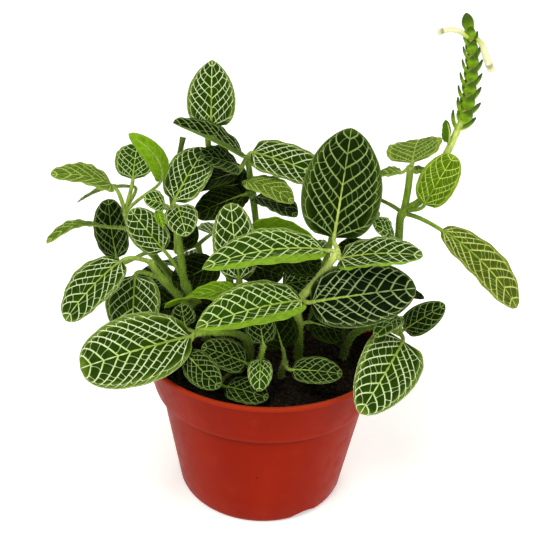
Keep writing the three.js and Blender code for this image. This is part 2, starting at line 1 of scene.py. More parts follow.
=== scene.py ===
"""A nerve plant with one flower spike, in its terracotta-coloured plastic nursery pot.

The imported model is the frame. Sizes are in millimetres here and in metres in Blender, with the
pot standing on z = 0, -Y towards the viewer and +X to the viewer's right. Each leafy stem of
the frame is replaced by finer pieces that keep its form: blades with a net of raised panels
and pale veins, stalks with their leaf stalks and midribs, and the hairs on the stalks.
"""

import logging
import math
from collections.abc import Callable, Iterable
from dataclasses import dataclass, field
from enum import Enum

import bpy
import numpy as np
from mathutils import Matrix, Vector


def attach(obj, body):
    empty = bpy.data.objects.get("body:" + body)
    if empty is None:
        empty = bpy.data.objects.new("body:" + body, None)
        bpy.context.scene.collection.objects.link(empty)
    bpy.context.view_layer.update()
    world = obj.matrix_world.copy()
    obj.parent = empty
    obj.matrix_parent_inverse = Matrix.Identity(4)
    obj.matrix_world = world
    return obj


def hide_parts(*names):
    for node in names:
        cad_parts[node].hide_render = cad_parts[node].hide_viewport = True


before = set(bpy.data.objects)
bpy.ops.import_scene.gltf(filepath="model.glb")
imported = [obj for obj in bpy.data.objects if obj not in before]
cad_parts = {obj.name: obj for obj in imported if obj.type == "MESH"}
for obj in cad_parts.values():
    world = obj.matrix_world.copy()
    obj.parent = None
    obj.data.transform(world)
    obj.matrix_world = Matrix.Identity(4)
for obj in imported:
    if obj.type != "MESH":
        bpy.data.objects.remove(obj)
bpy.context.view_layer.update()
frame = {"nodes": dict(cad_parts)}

LOG = logging.getLogger("nerve_plant")
MM = 0.001
BODY = "root"

Point = tuple[float, float, float]
Colour = tuple[float, float, float]
Place = tuple[float, float]  # (u, v) on a blade
Range = tuple[float, float, float, float]  # what a number runs from and to, then what it becomes
Faces = list[tuple[int, ...]]
Array = np.ndarray
Object = bpy.types.Object
Socket = bpy.types.NodeSocket
Material = bpy.types.Material

VIEWER: Point = (0, -0.9, 0.43)  # the face of a blade that looks straight at the viewer
FRONT_UP: Point = (0, -0.6, 0.8)
UP: Point = (0, -0.2, 1)


# ---- small helpers ----


def vec(point: Iterable[float]) -> Array:
    """The point as an array."""
    return np.array(tuple(point), dtype=float)


def unit(vectors: Array) -> Array:
    """The vector, or each row of vectors, at length 1."""
    return vectors / np.linalg.norm(vectors, axis=-1, keepdims=True)


def lerp(start: float, end: float, part: float | Array) -> float | Array:
    """The value that lies at this part of the way from start to end."""
    return start + (end - start) * part


def srgb(red: int, green: int, blue: int) -> Colour:
    """A screen colour, 0 to 255, as the linear colour that a shader takes."""
    shares = (red / 255, green / 255, blue / 255)
    return tuple(c / 12.92 if c <= 0.04045 else ((c + 0.055) / 1.055) ** 2.4 for c in shares)


def blended(first: Colour | Array, second: Colour | Array, part: Array) -> Array:
    """Rows of colours between the two, which are each one colour or one a row.

    Args:
        first: the colour at part 0.
        second: the colour at part 1.
        part: one share for each row.

    Returns:
        One colour a row.
    """
    share = np.clip(part, 0, 1)[:, None]
    return np.asarray(first) * (1 - share) + np.asarray(second) * share


def smooth_line(points: list[Array], steps: int) -> Array:
    """A centripetal Catmull-Rom curve through the points.

    Args:
        points: the points that the curve passes through.
        steps: how many steps each span is cut into.

    Returns:
        The curve's points, one a row.
    """
    ends = [2 * points[0] - points[1], *points, 2 * points[-1] - points[-2]]
    line = []
    for before, start, end, after in zip(ends, ends[1:], ends[2:], ends[3:]):
        gaps = [max(np.linalg.norm(b - a) ** 0.5, 1e-4)
                for a, b in ((before, start), (start, end), (end, after))]
        leave = (start - before) / gaps[0] - (end - before) / (gaps[0] + gaps[1])
        leave = (leave + (end - start) / gaps[1]) * gaps[1]
        arrive = (end - start) / gaps[1] - (after - start) / (gaps[1] + gaps[2])
        arrive = (arrive + (after - end) / gaps[2]) * gaps[1]
        for step in range(steps):
            t = step / steps
            line.append(start + leave * t + (3 * (end - start) - 2 * leave - arrive) * t ** 2
                        + (2 * (start - end) + leave + arrive) * t ** 3)
    line.append(points[-1])
    return np.array(line)


def bezier_line(corners: list[Array], steps: int) -> Array:
    """The points of a cubic Bezier curve, without its last one.

    Args:
        corners: the curve's four control points.
        steps: how many steps it is cut into.

    Returns:
        One point a row.
    """
    t = (np.arange(steps) / steps)[:, None]
    a, b, c, d = corners
    return a * (1 - t) ** 3 + 3 * b * t * (1 - t) ** 2 + 3 * c * t ** 2 * (1 - t) + d * t ** 3


def circle(count: int) -> Array:
    """The cosine and sine of count equal steps round a circle, one step a row."""
    angles = 2 * np.pi * np.arange(count) / count
    return np.stack([np.cos(angles), np.sin(angles)], axis=1)


def level_ring(ring: Array, radius: float, z: float) -> Array:
    """The circle ring at that radius and height, one corner a row."""
    return np.column_stack([ring * radius, np.full(len(ring), z)])


def ring_at(ring: Array, centre: Array, side: Array, other: Array) -> Array:
    """The flat ring set round a centre, with its two axes along side and other."""
    return centre + ring @ np.stack([side, other])


def tube_faces(count: int, rings: int, start: int = 0) -> Faces:
    """The faces between rings of corners, which look outwards where the rings run upwards.

    Args:
        count: how many corners each ring has.
        rings: how many rings there are.
        start: the number of the first corner.

    Returns:
        One face for each side of each ring but the last.
    """
    faces = []
    for ring in range(rings - 1):
        for k in range(count):
            a, b = start + ring * count + k, start + ring * count + (k + 1) % count
            faces.append((a, b, b + count, a + count))
    return faces


def fan_faces(count: int, start: int, tip: int, down: bool = False) -> Faces:
    """The faces from the ring of count corners at start to the corner tip."""
    pairs = [(start + k, start + (k + 1) % count) for k in range(count)]
    return [(b, a, tip) if down else (a, b, tip) for a, b in pairs]


@dataclass(frozen=True)
class Sheet:
    """A thin closed sheet with rounded edges, for the bracts and petals."""

    rows: int
    columns: int
    thick: float  # half its thickness in the middle
    edge: float = 0.03  # half its thickness at the edges, on top of that

    def grid(self) -> tuple[Array, Array, Array]:
        """The places along and across the sheet, and half its thickness there."""
        along = (1 - np.cos(np.pi * np.arange(self.rows + 1) / self.rows)) / 2
        u, v = (a.ravel() for a in np.meshgrid(along, np.linspace(-1, 1, self.columns), indexing="ij"))
        return u, v, self.thick * np.sqrt(np.clip(1 - v ** 4, 0, 1)) + self.edge

    def faces(self, start: int = 0) -> Faces:
        """The faces of the front, the back and the edge.

        Args:
            start: the number of the first corner of the front, which the back's corners follow.

        Returns:
            The faces, all of them outward.
        """
        rows, columns = self.rows, self.columns
        total = (rows + 1) * columns
        faces = []
        for r in range(rows):
            for c in range(columns - 1):
                a = start + r * columns + c
                d = a + columns
                faces.append((a, a + 1, d + 1, d))
                faces.append((total + a, total + d, total + d + 1, total + a + 1))
        border = [r * columns for r in range(rows, 0, -1)] + list(range(columns - 1))
        border += [r * columns + columns - 1 for r in range(rows)]
        border += [rows * columns + c for c in range(columns - 1, 0, -1)]
        for k, first in enumerate(border):
            a, b = start + first, start + border[(k + 1) % len(border)]
            faces.append((b, a, total + a, total + b))
        return faces


def placed(name: str, data: bpy.types.ID) -> Object:
    """Adds an object with this data to the scene."""
    thing = bpy.data.objects.new(name, data)
    bpy.context.scene.collection.objects.link(thing)
    return thing


def mesh_piece(
    name: str,
    points: Array,
    faces: Faces,
    values: dict[str, Array] | None = None,
    colours: dict[str, Array] | None = None,
    edges: list[tuple[int, int]] | None = None,
) -> Object:
    """Makes a mesh object from points in millimetres.

    Args:
        name: the object's name.
        points: one corner a row.
        faces: the corners of each face.
        values: numbers kept on the corners, by name.
        colours: colours kept on the corners, by name.
        edges: loose edges, for a line that a tree turns into a tube.

    Returns:
        The new object, which stands at the origin.
    """
    mesh = bpy.data.meshes.new(name)
    mesh.from_pydata((points * MM).tolist(), edges or [], faces)
    for key, numbers in (values or {}).items():
        layer = mesh.attributes.new(key, "FLOAT", "POINT")
        layer.data.foreach_set("value", np.asarray(numbers, dtype=np.float32))
    for key, rows in (colours or {}).items():
        layer = mesh.attributes.new(key, "FLOAT_COLOR", "POINT")
        full = np.ones((len(points), 4), dtype=np.float32)
        full[:, :3] = rows
        layer.data.foreach_set("color", full.ravel())
    mesh.polygons.foreach_set("use_smooth", [True] * len(mesh.polygons))
    mesh.update()
    return placed(name, mesh)


def baked(piece: Object, name: str) -> Object:
    """The piece as a plain mesh of that name, with its modifiers in it, in the piece's stead."""
    graph = bpy.context.evaluated_depsgraph_get()
    mesh = bpy.data.meshes.new_from_object(piece.evaluated_get(graph))
    bpy.data.objects.remove(piece)
    mesh.name = name
    return placed(name, mesh)


def settle(piece: Object, nodes: Iterable[str]) -> Object:
    """Hands a finished piece to the frame.

    Args:
        piece: the finished object.
        nodes: the frame's nodes that it stands for.

    Returns:
        The same object.
    """
    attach(piece, BODY)
    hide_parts(*nodes)
    LOG.info("%s: %d faces", piece.name, len(piece.data.polygons))
    return piece


# ---- node trees ----


def add_node(
    tree: bpy.types.NodeTree, kind: str, values: dict[int | str, object], **settings: object
) -> bpy.types.Node:
    """Adds a node to a tree.

    Args:
        tree: the tree of a material or of Geometry Nodes.
        kind: the node's type.
        values: what goes into its sockets, by name or number: another socket, or a value.
        settings: the node's own settings.

    Returns:
        The new node.
    """
    made = tree.nodes.new(kind)
    for key, value in settings.items():
        setattr(made, key, value)
    for key, value in values.items():
        socket = made.inputs[key]
        if isinstance(value, Socket):
            tree.links.new(value, socket)
        else:
            socket.default_value = (*value, 1) if socket.type == "RGBA" else value
    return made


class Tree:
    """A Geometry Nodes tree with named inputs, built node by node."""

    def __init__(self, name: str, **inputs: str) -> None:
        """Starts the tree.

        Args:
            name: the tree's name.
            inputs: its inputs besides Geometry and Material, each with its socket type.
        """
        self.group = bpy.data.node_groups.new(name, "GeometryNodeTree")
        self.group.is_modifier = True
        add = self.group.interface.new_socket
        kinds = {"Geometry": "Geometry", **inputs, "Material": "Material"}
        self.keys = {key: add(key, in_out="INPUT", socket_type="NodeSocket" + kind).identifier
                     for key, kind in kinds.items()}
        add("Geometry", in_out="OUTPUT", socket_type="NodeSocketGeometry")
        self.inputs = self.group.nodes.new("NodeGroupInput").outputs

    def node(self, kind: str, values: dict[int | str, object], **settings: object) -> bpy.types.Node:
        """Adds a node, as add_node does."""
        return add_node(self.group, kind, values, **settings)

    def named(self, key: str, kind: str = "FLOAT") -> Socket:
        """The socket that reads the attribute key of the type kind."""
        reader = self.node("GeometryNodeInputNamedAttribute", {"Name": key}, data_type=kind)
        return next(s for s in reader.outputs if s.enabled and s.name == "Attribute")

    def finish(self, geometry: Socket) -> None:
        """Ends the tree in Realize Instances and Set Material, after the socket with its geometry."""
        real = self.node("GeometryNodeRealizeInstances", {"Geometry": geometry})
        paint = self.node("GeometryNodeSetMaterial",
                          {"Geometry": real.outputs[0], "Material": self.inputs["Material"]})
        self.node("NodeGroupOutput", {0: paint.outputs[0]})

    def run(self, piece: Object, name: str, **settings: object) -> Object:
        """Runs the tree on a piece, and gives the result as a plain mesh object.

        Args:
            piece: the object whose geometry goes in. It is removed.
            name: the name of the result.
            settings: the values of the tree's named inputs.

        Returns:
            The new object.
        """
        modifier = piece.modifiers.new(self.group.name, "NODES")
        modifier.node_group = self.group
        for key, value in settings.items():
            modifier[self.keys[key]] = value
        return baked(piece, name)


def tube_tree() -> Tree:
    """The tree that turns lines into round tubes as thick as their points say.

    Returns:
        A tree with the inputs Sides and Material. It reads the attribute thick, in metres.
    """
    tree = Tree("tubes", Sides="Int")
    line = tree.node("GeometryNodeMeshToCurve", {"Mesh": tree.inputs["Geometry"]})
    ring = tree.node("GeometryNodeCurvePrimitiveCircle", {"Resolution": tree.inputs["Sides"], "Radius": 1.0})
    tube = tree.node("GeometryNodeCurveToMesh", {
        "Curve": line.outputs[0], "Profile Curve": ring.outputs[0], "Scale": tree.named("thick"),
        "Fill Caps": True})
    tree.finish(tree.node("GeometryNodeSetShadeSmooth", {"Geometry": tube.outputs[0]}).outputs[0])
    return tree


def scatter_tree() -> Tree:
    """The tree that strews small pieces over a surface.

    Returns:
        A tree with the inputs Piece, Density in pieces a square metre, Smallest, Largest, Tilt in
        radians, Seed and Material. It reads the attribute growth, the share of the density.
    """
    tree = Tree("scatter", Piece="Object", Density="Float", Smallest="Float", Largest="Float",
                Tilt="Float", Seed="Int")
    dense = tree.node("ShaderNodeMath", {0: tree.named("growth"), 1: tree.inputs["Density"]},
                      operation="MULTIPLY")
    spots = tree.node("GeometryNodeDistributePointsOnFaces", {
        "Mesh": tree.inputs["Geometry"], "Density": dense.outputs[0], "Seed": tree.inputs["Seed"]})
    made = tree.node("GeometryNodeObjectInfo", {"Object": tree.inputs["Piece"], "As Instance": True})
    size = tree.node("FunctionNodeRandomValue", {"Seed": tree.inputs["Seed"]})
    low, high = [s for s in size.inputs if s.enabled and s.name in ("Min", "Max")]
    tree.group.links.new(tree.inputs["Smallest"], low)
    tree.group.links.new(tree.inputs["Largest"], high)
    lean = tree.node("FunctionNodeRandomValue", {"Min": (-1, -1, -math.pi), "Max": (1, 1, math.pi)},
                     data_type="FLOAT_VECTOR")
    tilt = tree.node("ShaderNodeCombineXYZ", {0: tree.inputs["Tilt"], 1: tree.inputs["Tilt"], 2: 1})
    swing = tree.node("ShaderNodeVectorMath", {0: lean.outputs[0], 1: tilt.outputs[0]}, operation="MULTIPLY")
    turned = tree.node("FunctionNodeRotateRotation", {0: spots.outputs["Rotation"], 1: swing.outputs[0]},
                       rotation_space="LOCAL")
    strewn = tree.node("GeometryNodeInstanceOnPoints", {
        "Points": spots.outputs["Points"], "Instance": made.outputs["Geometry"],
        "Rotation": turned.outputs[0], "Scale": next(s for s in size.outputs if s.enabled)})
    tree.finish(strewn.outputs[0])
    return tree


def row_tree() -> Tree:
    """The tree that sets a copy of a piece on each point of a row.

    Returns:
        A tree with the inputs Piece and Material. It reads the attributes turn, as Euler angles,
        and size.
    """
    tree = Tree("rows", Piece="Object")
    spots = tree.node("GeometryNodeMeshToPoints", {"Mesh": tree.inputs["Geometry"]})
    made = tree.node("GeometryNodeObjectInfo", {"Object": tree.inputs["Piece"], "As Instance": True})
    copies = tree.node("GeometryNodeInstanceOnPoints", {
        "Points": spots.outputs[0], "Instance": made.outputs["Geometry"],
        "Rotation": tree.named("turn", "FLOAT_VECTOR"), "Scale": tree.named("size")})
    tree.finish(copies.outputs[0])
    return tree


# ---- finishes ----


class Shader:
    """A material's node tree, built node by node round one Principled shader."""

    def __init__(self, name: str, roughness: float, **sockets: float) -> None:
        """Makes the material.

        Args:
            name: the material's name.
            roughness: the shader's roughness.
            sockets: other shader sockets that are the same all over, with _ for a space.
        """
        self.material = bpy.data.materials.new(name)
        self.material.use_nodes = True
        self.tree = self.material.node_tree
        self.surface = self.tree.nodes["Principled BSDF"]
        self.surface.inputs["Roughness"].default_value = roughness
        for key, value in sockets.items():
            self.surface.inputs[key.replace("_", " ")].default_value = value
        self.place = self.node("ShaderNodeTexCoord", {}).outputs["Object"]

    def node(self, kind: str, values: dict[int | str, object], **settings: object) -> bpy.types.Node:
        """Adds a node, as add_node does."""
        return add_node(self.tree, kind, values, **settings)

    def attribute(self, key: str, output: str = "Color") -> Socket:
        """The socket that reads the attribute key as a colour, or as a number with output Fac."""
        return self.node("ShaderNodeAttribute", {}, attribute_name=key).outputs[output]

    def noise(self, size: float, detail: float = 3.0, stretch: Point = (1, 1, 1)) -> Socket:
        """A noise pattern on the object's own coordinates.

        Args:
            size: the size of its marks in millimetres.
            detail: how many finer layers it has.
            stretch: the pattern's scale along each axis.

        Returns:
            The socket with a number from 0 to 1.
        """
        spread = self.node("ShaderNodeMapping", {"Vector": self.place, "Scale": stretch})
        return self.node("ShaderNodeTexNoise", {
            "Vector": spread.outputs[0], "Scale": 1 / (size * MM), "Detail": detail}).outputs["Fac"]

    def away(self, point: Point) -> Socket:
        """The distance from a point of the object, both in millimetres."""
        gap = self.node("ShaderNodeVectorMath", {0: self.place, 1: vec(point) * MM}, operation="DISTANCE")
        return self.node("ShaderNodeMath", {0: gap.outputs["Value"], 1: MM}, operation="DIVIDE").outputs[0]

    def ranged(self, value: Socket, ends: Range, soft: bool = False) -> Socket:
        """The number brought to another range, with a smooth step where soft."""
        return self.node("ShaderNodeMapRange", dict(enumerate((value, *ends))),
                         interpolation_type="SMOOTHSTEP" if soft else "LINEAR").outputs[0]

    def mixed(
        self, share: Socket | float, first: Socket | Colour, second: Socket | Colour, kind: str = "MIX"
    ) -> Socket:
        """Mixes two colours.

        Args:
            share: how much of the second one.
            first: the colour below.
            second: the colour above.
            kind: the way of mixing.

        Returns:
            The socket with the mixed colour.
        """
        return self.node("ShaderNodeMix", {0: share, 6: first, 7: second},
                         data_type="RGBA", blend_type=kind).outputs[2]

    def clouded(
        self, colour: Socket | Colour, size: float, clouds: Range, stretch: Point = (1, 1, 1)
    ) -> None:
        """Gives the shader a colour with soft lighter and darker clouds.

        Args:
            colour: the colour.
            size: the size of the clouds in millimetres.
            clouds: the noise's range and how dark and light it makes the colour.
            stretch: the clouds' scale along each axis.
        """
        shades = self.ranged(self.noise(size, stretch=stretch), clouds)
        self.colour(self.mixed(1.0, colour, shades, "MULTIPLY"))

    def bump(self, size: float, depth: float, detail: float = 2.0) -> None:
        """Gives the surface a noisy relief.

        Args:
            size: the size of its marks in millimetres.
            depth: its depth in millimetres.
            detail: how many finer layers it has.
        """
        node = self.node("ShaderNodeBump", {
            "Distance": depth * MM, "Strength": 1.0, "Height": self.noise(size, detail)})
        self.tree.links.new(node.outputs[0], self.surface.inputs["Normal"])

    def colour(self, socket: Socket) -> None:
        """Links the shader's colour."""
        self.tree.links.new(socket, self.surface.inputs["Base Color"])

    def gloss(self, size: float, ends: Range, detail: float = 3.0) -> None:
        """Gives the surface a noisy roughness, from noise of that size and detail."""
        self.tree.links.new(self.ranged(self.noise(size, detail), ends), self.surface.inputs["Roughness"])


@dataclass(frozen=True)
class BladeFinish:
    """The leaf surface: dark satin panels in a net of pale, slightly rough veins."""

    edge: float = 0.3  # how softly a vein ends, in steps of the attribute net
    mottle: float = 2.6
    clouds: Range = (0.25, 0.75, 0.72, 1.3)
    satin: Range = (0.3, 0.7, 0.42, 0.6)

    def build(self) -> Material:
        """The finished material, which reads the attributes panel, thread and net."""
        shader = Shader("blade", 0.5, Specular_IOR_Level=0.03)
        shades = shader.ranged(shader.noise(self.mottle), self.clouds)
        panel = shader.mixed(1.0, shader.attribute("panel"), shades, "MULTIPLY")
        vein = shader.ranged(shader.attribute("net", "Fac"), (self.edge, -self.edge, 0, 1), soft=True)
        shader.colour(shader.mixed(vein, panel, shader.attribute("thread")))
        shader.gloss(1.1, self.satin)
        shader.bump(0.35, 0.05)
        return shader.material


@dataclass(frozen=True)
class StalkFinish:
    """The soft green skin of the stalks, which runs from olive to pale yellow-green."""

    streak: float = 1.0
    stretch: Point = (1, 1, 0.25)
    clouds: Range = (0.3, 0.7, 0.66, 1.3)

    def build(self) -> Material:
        """The finished material, which reads the attribute skin."""
        shader = Shader("stalk", 0.55, Specular_IOR_Level=0.15)
        shader.clouded(shader.attribute("skin"), self.streak, self.clouds, self.stretch)
        shader.bump(0.4, 0.06)
        return shader.material


@dataclass(frozen=True)
class HairFinish:
    """The pale hairs on stalks and young leaves."""

    tint: Colour = srgb(206, 214, 168)
    clouds: Range = (0.3, 0.7, 0.7, 1.1)

    def build(self) -> Material:
        """The finished material."""
        shader = Shader("hair", 0.6)
        shader.clouded(self.tint, 3.0, self.clouds)
        return shader.material


@dataclass(frozen=True)
class BractFinish:
    """The bracts of the spike: pale at the foot, fresh green, dark at the tip."""

    foot: Colour = srgb(204, 220, 104)
    middle: Colour = srgb(116, 158, 12)
    tip: Colour = srgb(60, 88, 2)
    greening: Range = (0.05, 0.4, 0, 1)
    darkening: Range = (0.55, 0.85, 0, 1)
    clouds: Range = (0.3, 0.7, 0.82, 1.2)

    def build(self) -> Material:
        """The finished material, which reads the attribute along."""
        shader = Shader("bract", 0.5, Specular_IOR_Level=0.15)
        along = shader.attribute("along", "Fac")
        rising = shader.mixed(shader.ranged(along, self.greening, soft=True), self.foot, self.middle)
        painted = shader.mixed(shader.ranged(along, self.darkening, soft=True), rising, self.tip)
        shader.clouded(painted, 1.2, self.clouds)
        shader.bump(0.3, 0.04)
        return shader.material


@dataclass(frozen=True)
class PetalFinish:
    """The cream petals of the two open flowers."""

    tint: Colour = srgb(226, 224, 180)
    foot: Colour = srgb(176, 192, 62)
    # painted shade in the flower's mouth, where the tube meets the lobes
    mouth_shade: Colour = srgb(128, 122, 84)
    fading: Range = (0, 0.45, 0, 1)
    shading: Range = (0.93, 1.0, 0, 0.8)
    clouds: Range = (0.3, 0.7, 0.92, 1.05)

    def build(self) -> Material:
        """The finished material, which reads the attribute along."""
        shader = Shader("petal", 0.5, Subsurface_Weight=0.1)
        along = shader.attribute("along", "Fac")
        rising = shader.mixed(shader.ranged(along, self.fading, soft=True), self.foot, self.tint)
        # painted shade at the mouth
        painted = shader.mixed(shader.ranged(along, self.shading), rising, self.mouth_shade)
        shader.clouded(painted, 1.0, self.clouds)
        return shader.material


@dataclass(frozen=True)
class PotFinish:
    """Moulded terracotta-red plastic: satin, with faint flow marks, scuffs, pale worn edges, and painted
    shade under the band, at the foot and inside.
    """

    tint: Colour = srgb(144, 27, 0)
    worn: Colour = srgb(170, 58, 28)
    deep: Colour = srgb(120, 15, 0)
    # the dark of the painted shade under the band, at the foot and inside, and of the gate mark
    shade_and_gate: Colour = srgb(72, 8, 3)
    evenness: float = 0.6  # how little the flow marks show
    flow: Range = (0.3, 0.7, 0, 1)
    scuffs: Range = (0.55, 0.85, 0, 0.22)
    satin: Range = (0.3, 0.7, 0.33, 0.5)
    gate: Point = (-1.5, -46.6, 32.0)  # the small mark that the moulding leaves
    gate_radius: float = 0.75
    gate_depth: float = 0.8

    def build(self) -> Material:
        """The finished material, which reads the attribute that marks worn, paler edges above 0 and painted
        shade below 0.
        """
        shader = Shader("pot_plastic", 0.4, Specular_IOR_Level=0.04)
        flow = shader.ranged(shader.noise(26, stretch=(1, 1, 0.25)), self.flow)
        body = shader.mixed(self.evenness, shader.mixed(flow, self.deep, self.tint), self.tint)
        wear_and_shade = shader.attribute("wear_and_shade", "Fac")
        edge = shader.mixed(shader.ranged(wear_and_shade, (0, 1, 0, 1)), body, self.worn)
        # painted shade: the pot darkens where the mark runs below 0, under the band, at the foot and inside
        edge = shader.mixed(shader.ranged(wear_and_shade, (0, -1, 0, 1)), edge, self.shade_and_gate)
        mark = (self.gate_radius, self.gate_radius / 2, 0, self.gate_depth)
        edge = shader.mixed(shader.ranged(shader.away(self.gate), mark), edge, self.shade_and_gate)
        shader.colour(shader.mixed(shader.ranged(shader.noise(9, 5.0), self.scuffs), edge, self.worn))
        shader.gloss(5, self.satin, 4.0)
        shader.bump(1.2, 0.03, 3.0)
        return shader.material


@dataclass(frozen=True)
class SoilFinish:
    """Moist dark peat with paler fibres and grains."""

    damp: Colour = srgb(18, 13, 8)
    dry: Colour = srgb(56, 42, 28)
    drying: Range = (0.45, 0.75, 0, 1)

    def build(self) -> Material:
        """The finished material."""
        shader = Shader("peat", 0.85, Specular_IOR_Level=0.08)
        grains = shader.ranged(shader.noise(1.6, 5.0), self.drying, soft=True)
        shader.colour(shader.mixed(grains, self.damp, self.dry))
        shader.bump(0.8, 0.5, 4.0)
        return shader.material


@dataclass(frozen=True)
class FloorFinish:
    """The plain pale floor."""

    tint: Colour = (0.9, 0.9, 0.9)
    glow: float = 0.4
    clouds: Range = (0, 1, 0.98, 1.0)

    def build(self) -> Material:
        """The finished material."""
        shader = Shader("floor", 0.8, Specular_IOR_Level=0.2, Emission_Strength=self.glow)
        shader.surface.inputs["Emission Color"].default_value = (1, 1, 1, 1)
        shader.clouded(self.tint, 300, self.clouds)
        return shader.material


@dataclass(frozen=True)
class Tone:
    """The colours of one kind of leaf: its panels, veins, midrib and underside."""

    panel: Colour
    vein: Colour
    rib: Colour
    under: Colour = srgb(100, 130, 50)
    bold: float = 1.0  # how much the veins stand out
    cell: float = 1.0  # the size of the net's cells, as a part of the usual one


class Look(Enum):
    """The kinds of leaf that the plant carries, and the leaf colours darkened with painted shade for leaves
    that lie in shade.
    """

    # painted shade: the leaf colours darkened for the big front leaf that lies beneath others
    DEEP_SHADE = Tone(srgb(8, 22, 2), srgb(154, 174, 118), srgb(84, 110, 40))
    DARK = Tone(srgb(36, 62, 2), srgb(212, 230, 178), srgb(166, 198, 62))
    # painted shade: the leaf colours darkened for leaves that lie in shade
    SHADE = Tone(srgb(18, 34, 0), srgb(138, 162, 96), srgb(98, 128, 40))
    FRESH = Tone(srgb(40, 72, 6), srgb(208, 228, 160), srgb(172, 206, 62), bold=1.4)
    YOUNG = Tone(srgb(80, 112, 10), srgb(186, 208, 96), srgb(176, 206, 60), cell=0.7)
    HAIRY = Tone(srgb(86, 114, 26), srgb(188, 208, 118), srgb(188, 210, 84), cell=0.75)
    OLIVE = Tone(srgb(70, 90, 20), srgb(188, 200, 112), srgb(174, 188, 84), cell=0.7)
    LIME = Tone(srgb(96, 138, 12), srgb(150, 186, 66), srgb(176, 206, 66), srgb(106, 148, 14))
    BRACT = Tone(srgb(50, 84, 4), srgb(92, 128, 16), srgb(140, 176, 50), srgb(62, 96, 6))
    # painted shade: the darkest leaf colours, for the leaves hidden deep inside the plant
    INNER_SHADE = Tone(srgb(14, 24, 0), srgb(62, 84, 22), srgb(56, 78, 14), srgb(36, 56, 8))


# ---- the shape of a leaf ----


@dataclass(frozen=True)
class Leaf:
    """One leaf, as in the frame's source: where it leaves its stalk and how its blade lies.

    arch bows the midrib towards the upper face and sway sideways, as parts of the length;
    fold lifts the halves and twist turns the blade from base to tip, in degrees; broad is
    where the blade is widest, and taper sharpens its tip.
    """

    at: int
    base: Point
    tip: Point
    wide: float
    face: Point
    look: Look = Look.DARK
    arch: float = 0.06
    sway: float = 0.0
    fold: float = 7.0
    twist: float = 0.0
    broad: float = 0.45
    taper: float = 1.12
    ripple: float = 0.05
    band: float = 0.0  # where a smooth light edge begins, + on the blade's left half, - on its right


class BladeForm:
    """The curved surface of a leaf blade, on which u runs from base to tip and v across."""

    WAVES = 9.0  # the waves of the blade, along and with a skew across
    SKEW = 4.0
    FRILLS = 31.0  # the finer waves of its edge, likewise
    FRILL_SKEW = 5.0
    FRILL = 0.35
    FULLNESS = 0.9
    BASE_HALF = 0.7
    TIP_HALF = 0.22

    def __init__(self, leaf: Leaf) -> None:
        """Works out the blade's frame."""
        self.leaf = leaf
        self.base = vec(leaf.base)
        self.along = vec(leaf.tip) - self.base
        self.length = float(np.linalg.norm(self.along))
        self.axis = self.along / self.length
        face = vec(leaf.face)
        self.normal = unit(face - self.axis * face.dot(self.axis))
        self.side = np.cross(self.axis, self.normal)

    def half(self, u: Array) -> Array:
        """Half the blade's width at u, in millimetres."""
        u = np.clip(u, 0, 1)
        place = u ** (math.log(0.5) / math.log(self.leaf.broad))
        ellipse = 2 * np.sqrt(np.maximum(place * (1 - place), 0))
        power = lerp(self.FULLNESS, self.leaf.taper, u)
        least = lerp(self.BASE_HALF, self.TIP_HALF, u)
        return np.maximum(self.leaf.wide / 2 * ellipse ** power, least)

    def frame_at(self, u: Array) -> tuple[Array, Array, Array, Array]:
        """The midrib's points and the directions along, upwards and outwards there.

        Args:
            u: places along the blade, one a row.

        Returns:
            The points, the slopes, the upward and the outward directions.
        """
        u = u[:, None]
        bow = 4 * u * (1 - u) * self.length
        lean = 4 * (1 - 2 * u)
        bend = self.normal * self.leaf.arch + self.side * self.leaf.sway
        centre = self.base + self.along * u + bend * bow
        slope = unit(self.axis + bend * lean)
        level = unit(self.normal - slope * (slope @ self.normal)[:, None])
        turn = np.radians(self.leaf.twist) * (u - 0.5)
        up = level * np.cos(turn) + np.cross(slope, level) * np.sin(turn)
        return centre, slope, up, np.cross(slope, up)

    def surface(self, u: Array, v: Array, lift: Array) -> Array:
        """Points on or off the blade's middle surface.

        Args:
            u: places along the blade.
            v: places across it, -1 and 1 at its edges.
            lift: how far above the surface, in millimetres.

        Returns:
            One point a row.
        """
        centre, _, up, out = self.frame_at(u)
        half = self.half(u)
        fold = math.radians(self.leaf.fold)
        wave = self.leaf.ripple * v ** 2 * np.sin(self.WAVES * u + self.SKEW * v)
        frill = self.FRILL * v ** 4 * np.sin(self.FRILLS * u + self.FRILL_SKEW * v) * np.minimum(half / 8, 1)
        rise = half * (np.abs(v) * math.sin(fold) + wave) + lift + frill
        return centre + out * (half * v * math.cos(fold))[:, None] + up * rise[:, None]


@dataclass(eq=False)
class Strand:
    """One vein as a line in the blade's plane, with the stops where others meet it."""

    place: Callable[[float], Place]  # where a stop lies, as (u, v)
    half: Callable[[float], float]  # half the vein's width at a stop, in millimetres
    rib: float = 0.0  # how much it has the midrib's colour
    bold: float = 1.0  # how much it stands out from the panels
    stops: set[float] = field(default_factory=set)

    def stop(self, *places: float) -> None:
        """Adds stops."""
        self.stops.update(round(p, 6) for p in places)

    def cut(self, start: float, end: float, count: int) -> None:
        """Cuts the strand between two stops into count equal steps."""
        self.stop(*(lerp(start, end, k / count) for k in range(count + 1)))

    def walk(self, start: float, end: float) -> list[float]:
        """The stops from start to just before end, in that order."""
        start, end = round(start, 6), round(end, 6)
        low, high = min(start, end), max(start, end)
        inside = sorted(s for s in self.stops | {start, end} if low <= s <= high)
        if start > end:
            inside.reverse()
        return inside[:-1]


Walk = tuple[Strand, float, float]  # a strand, and the stops that a walk on it runs between
Rung = tuple[float, float, Walk | None]  # its stops on two strands, and the walk over it


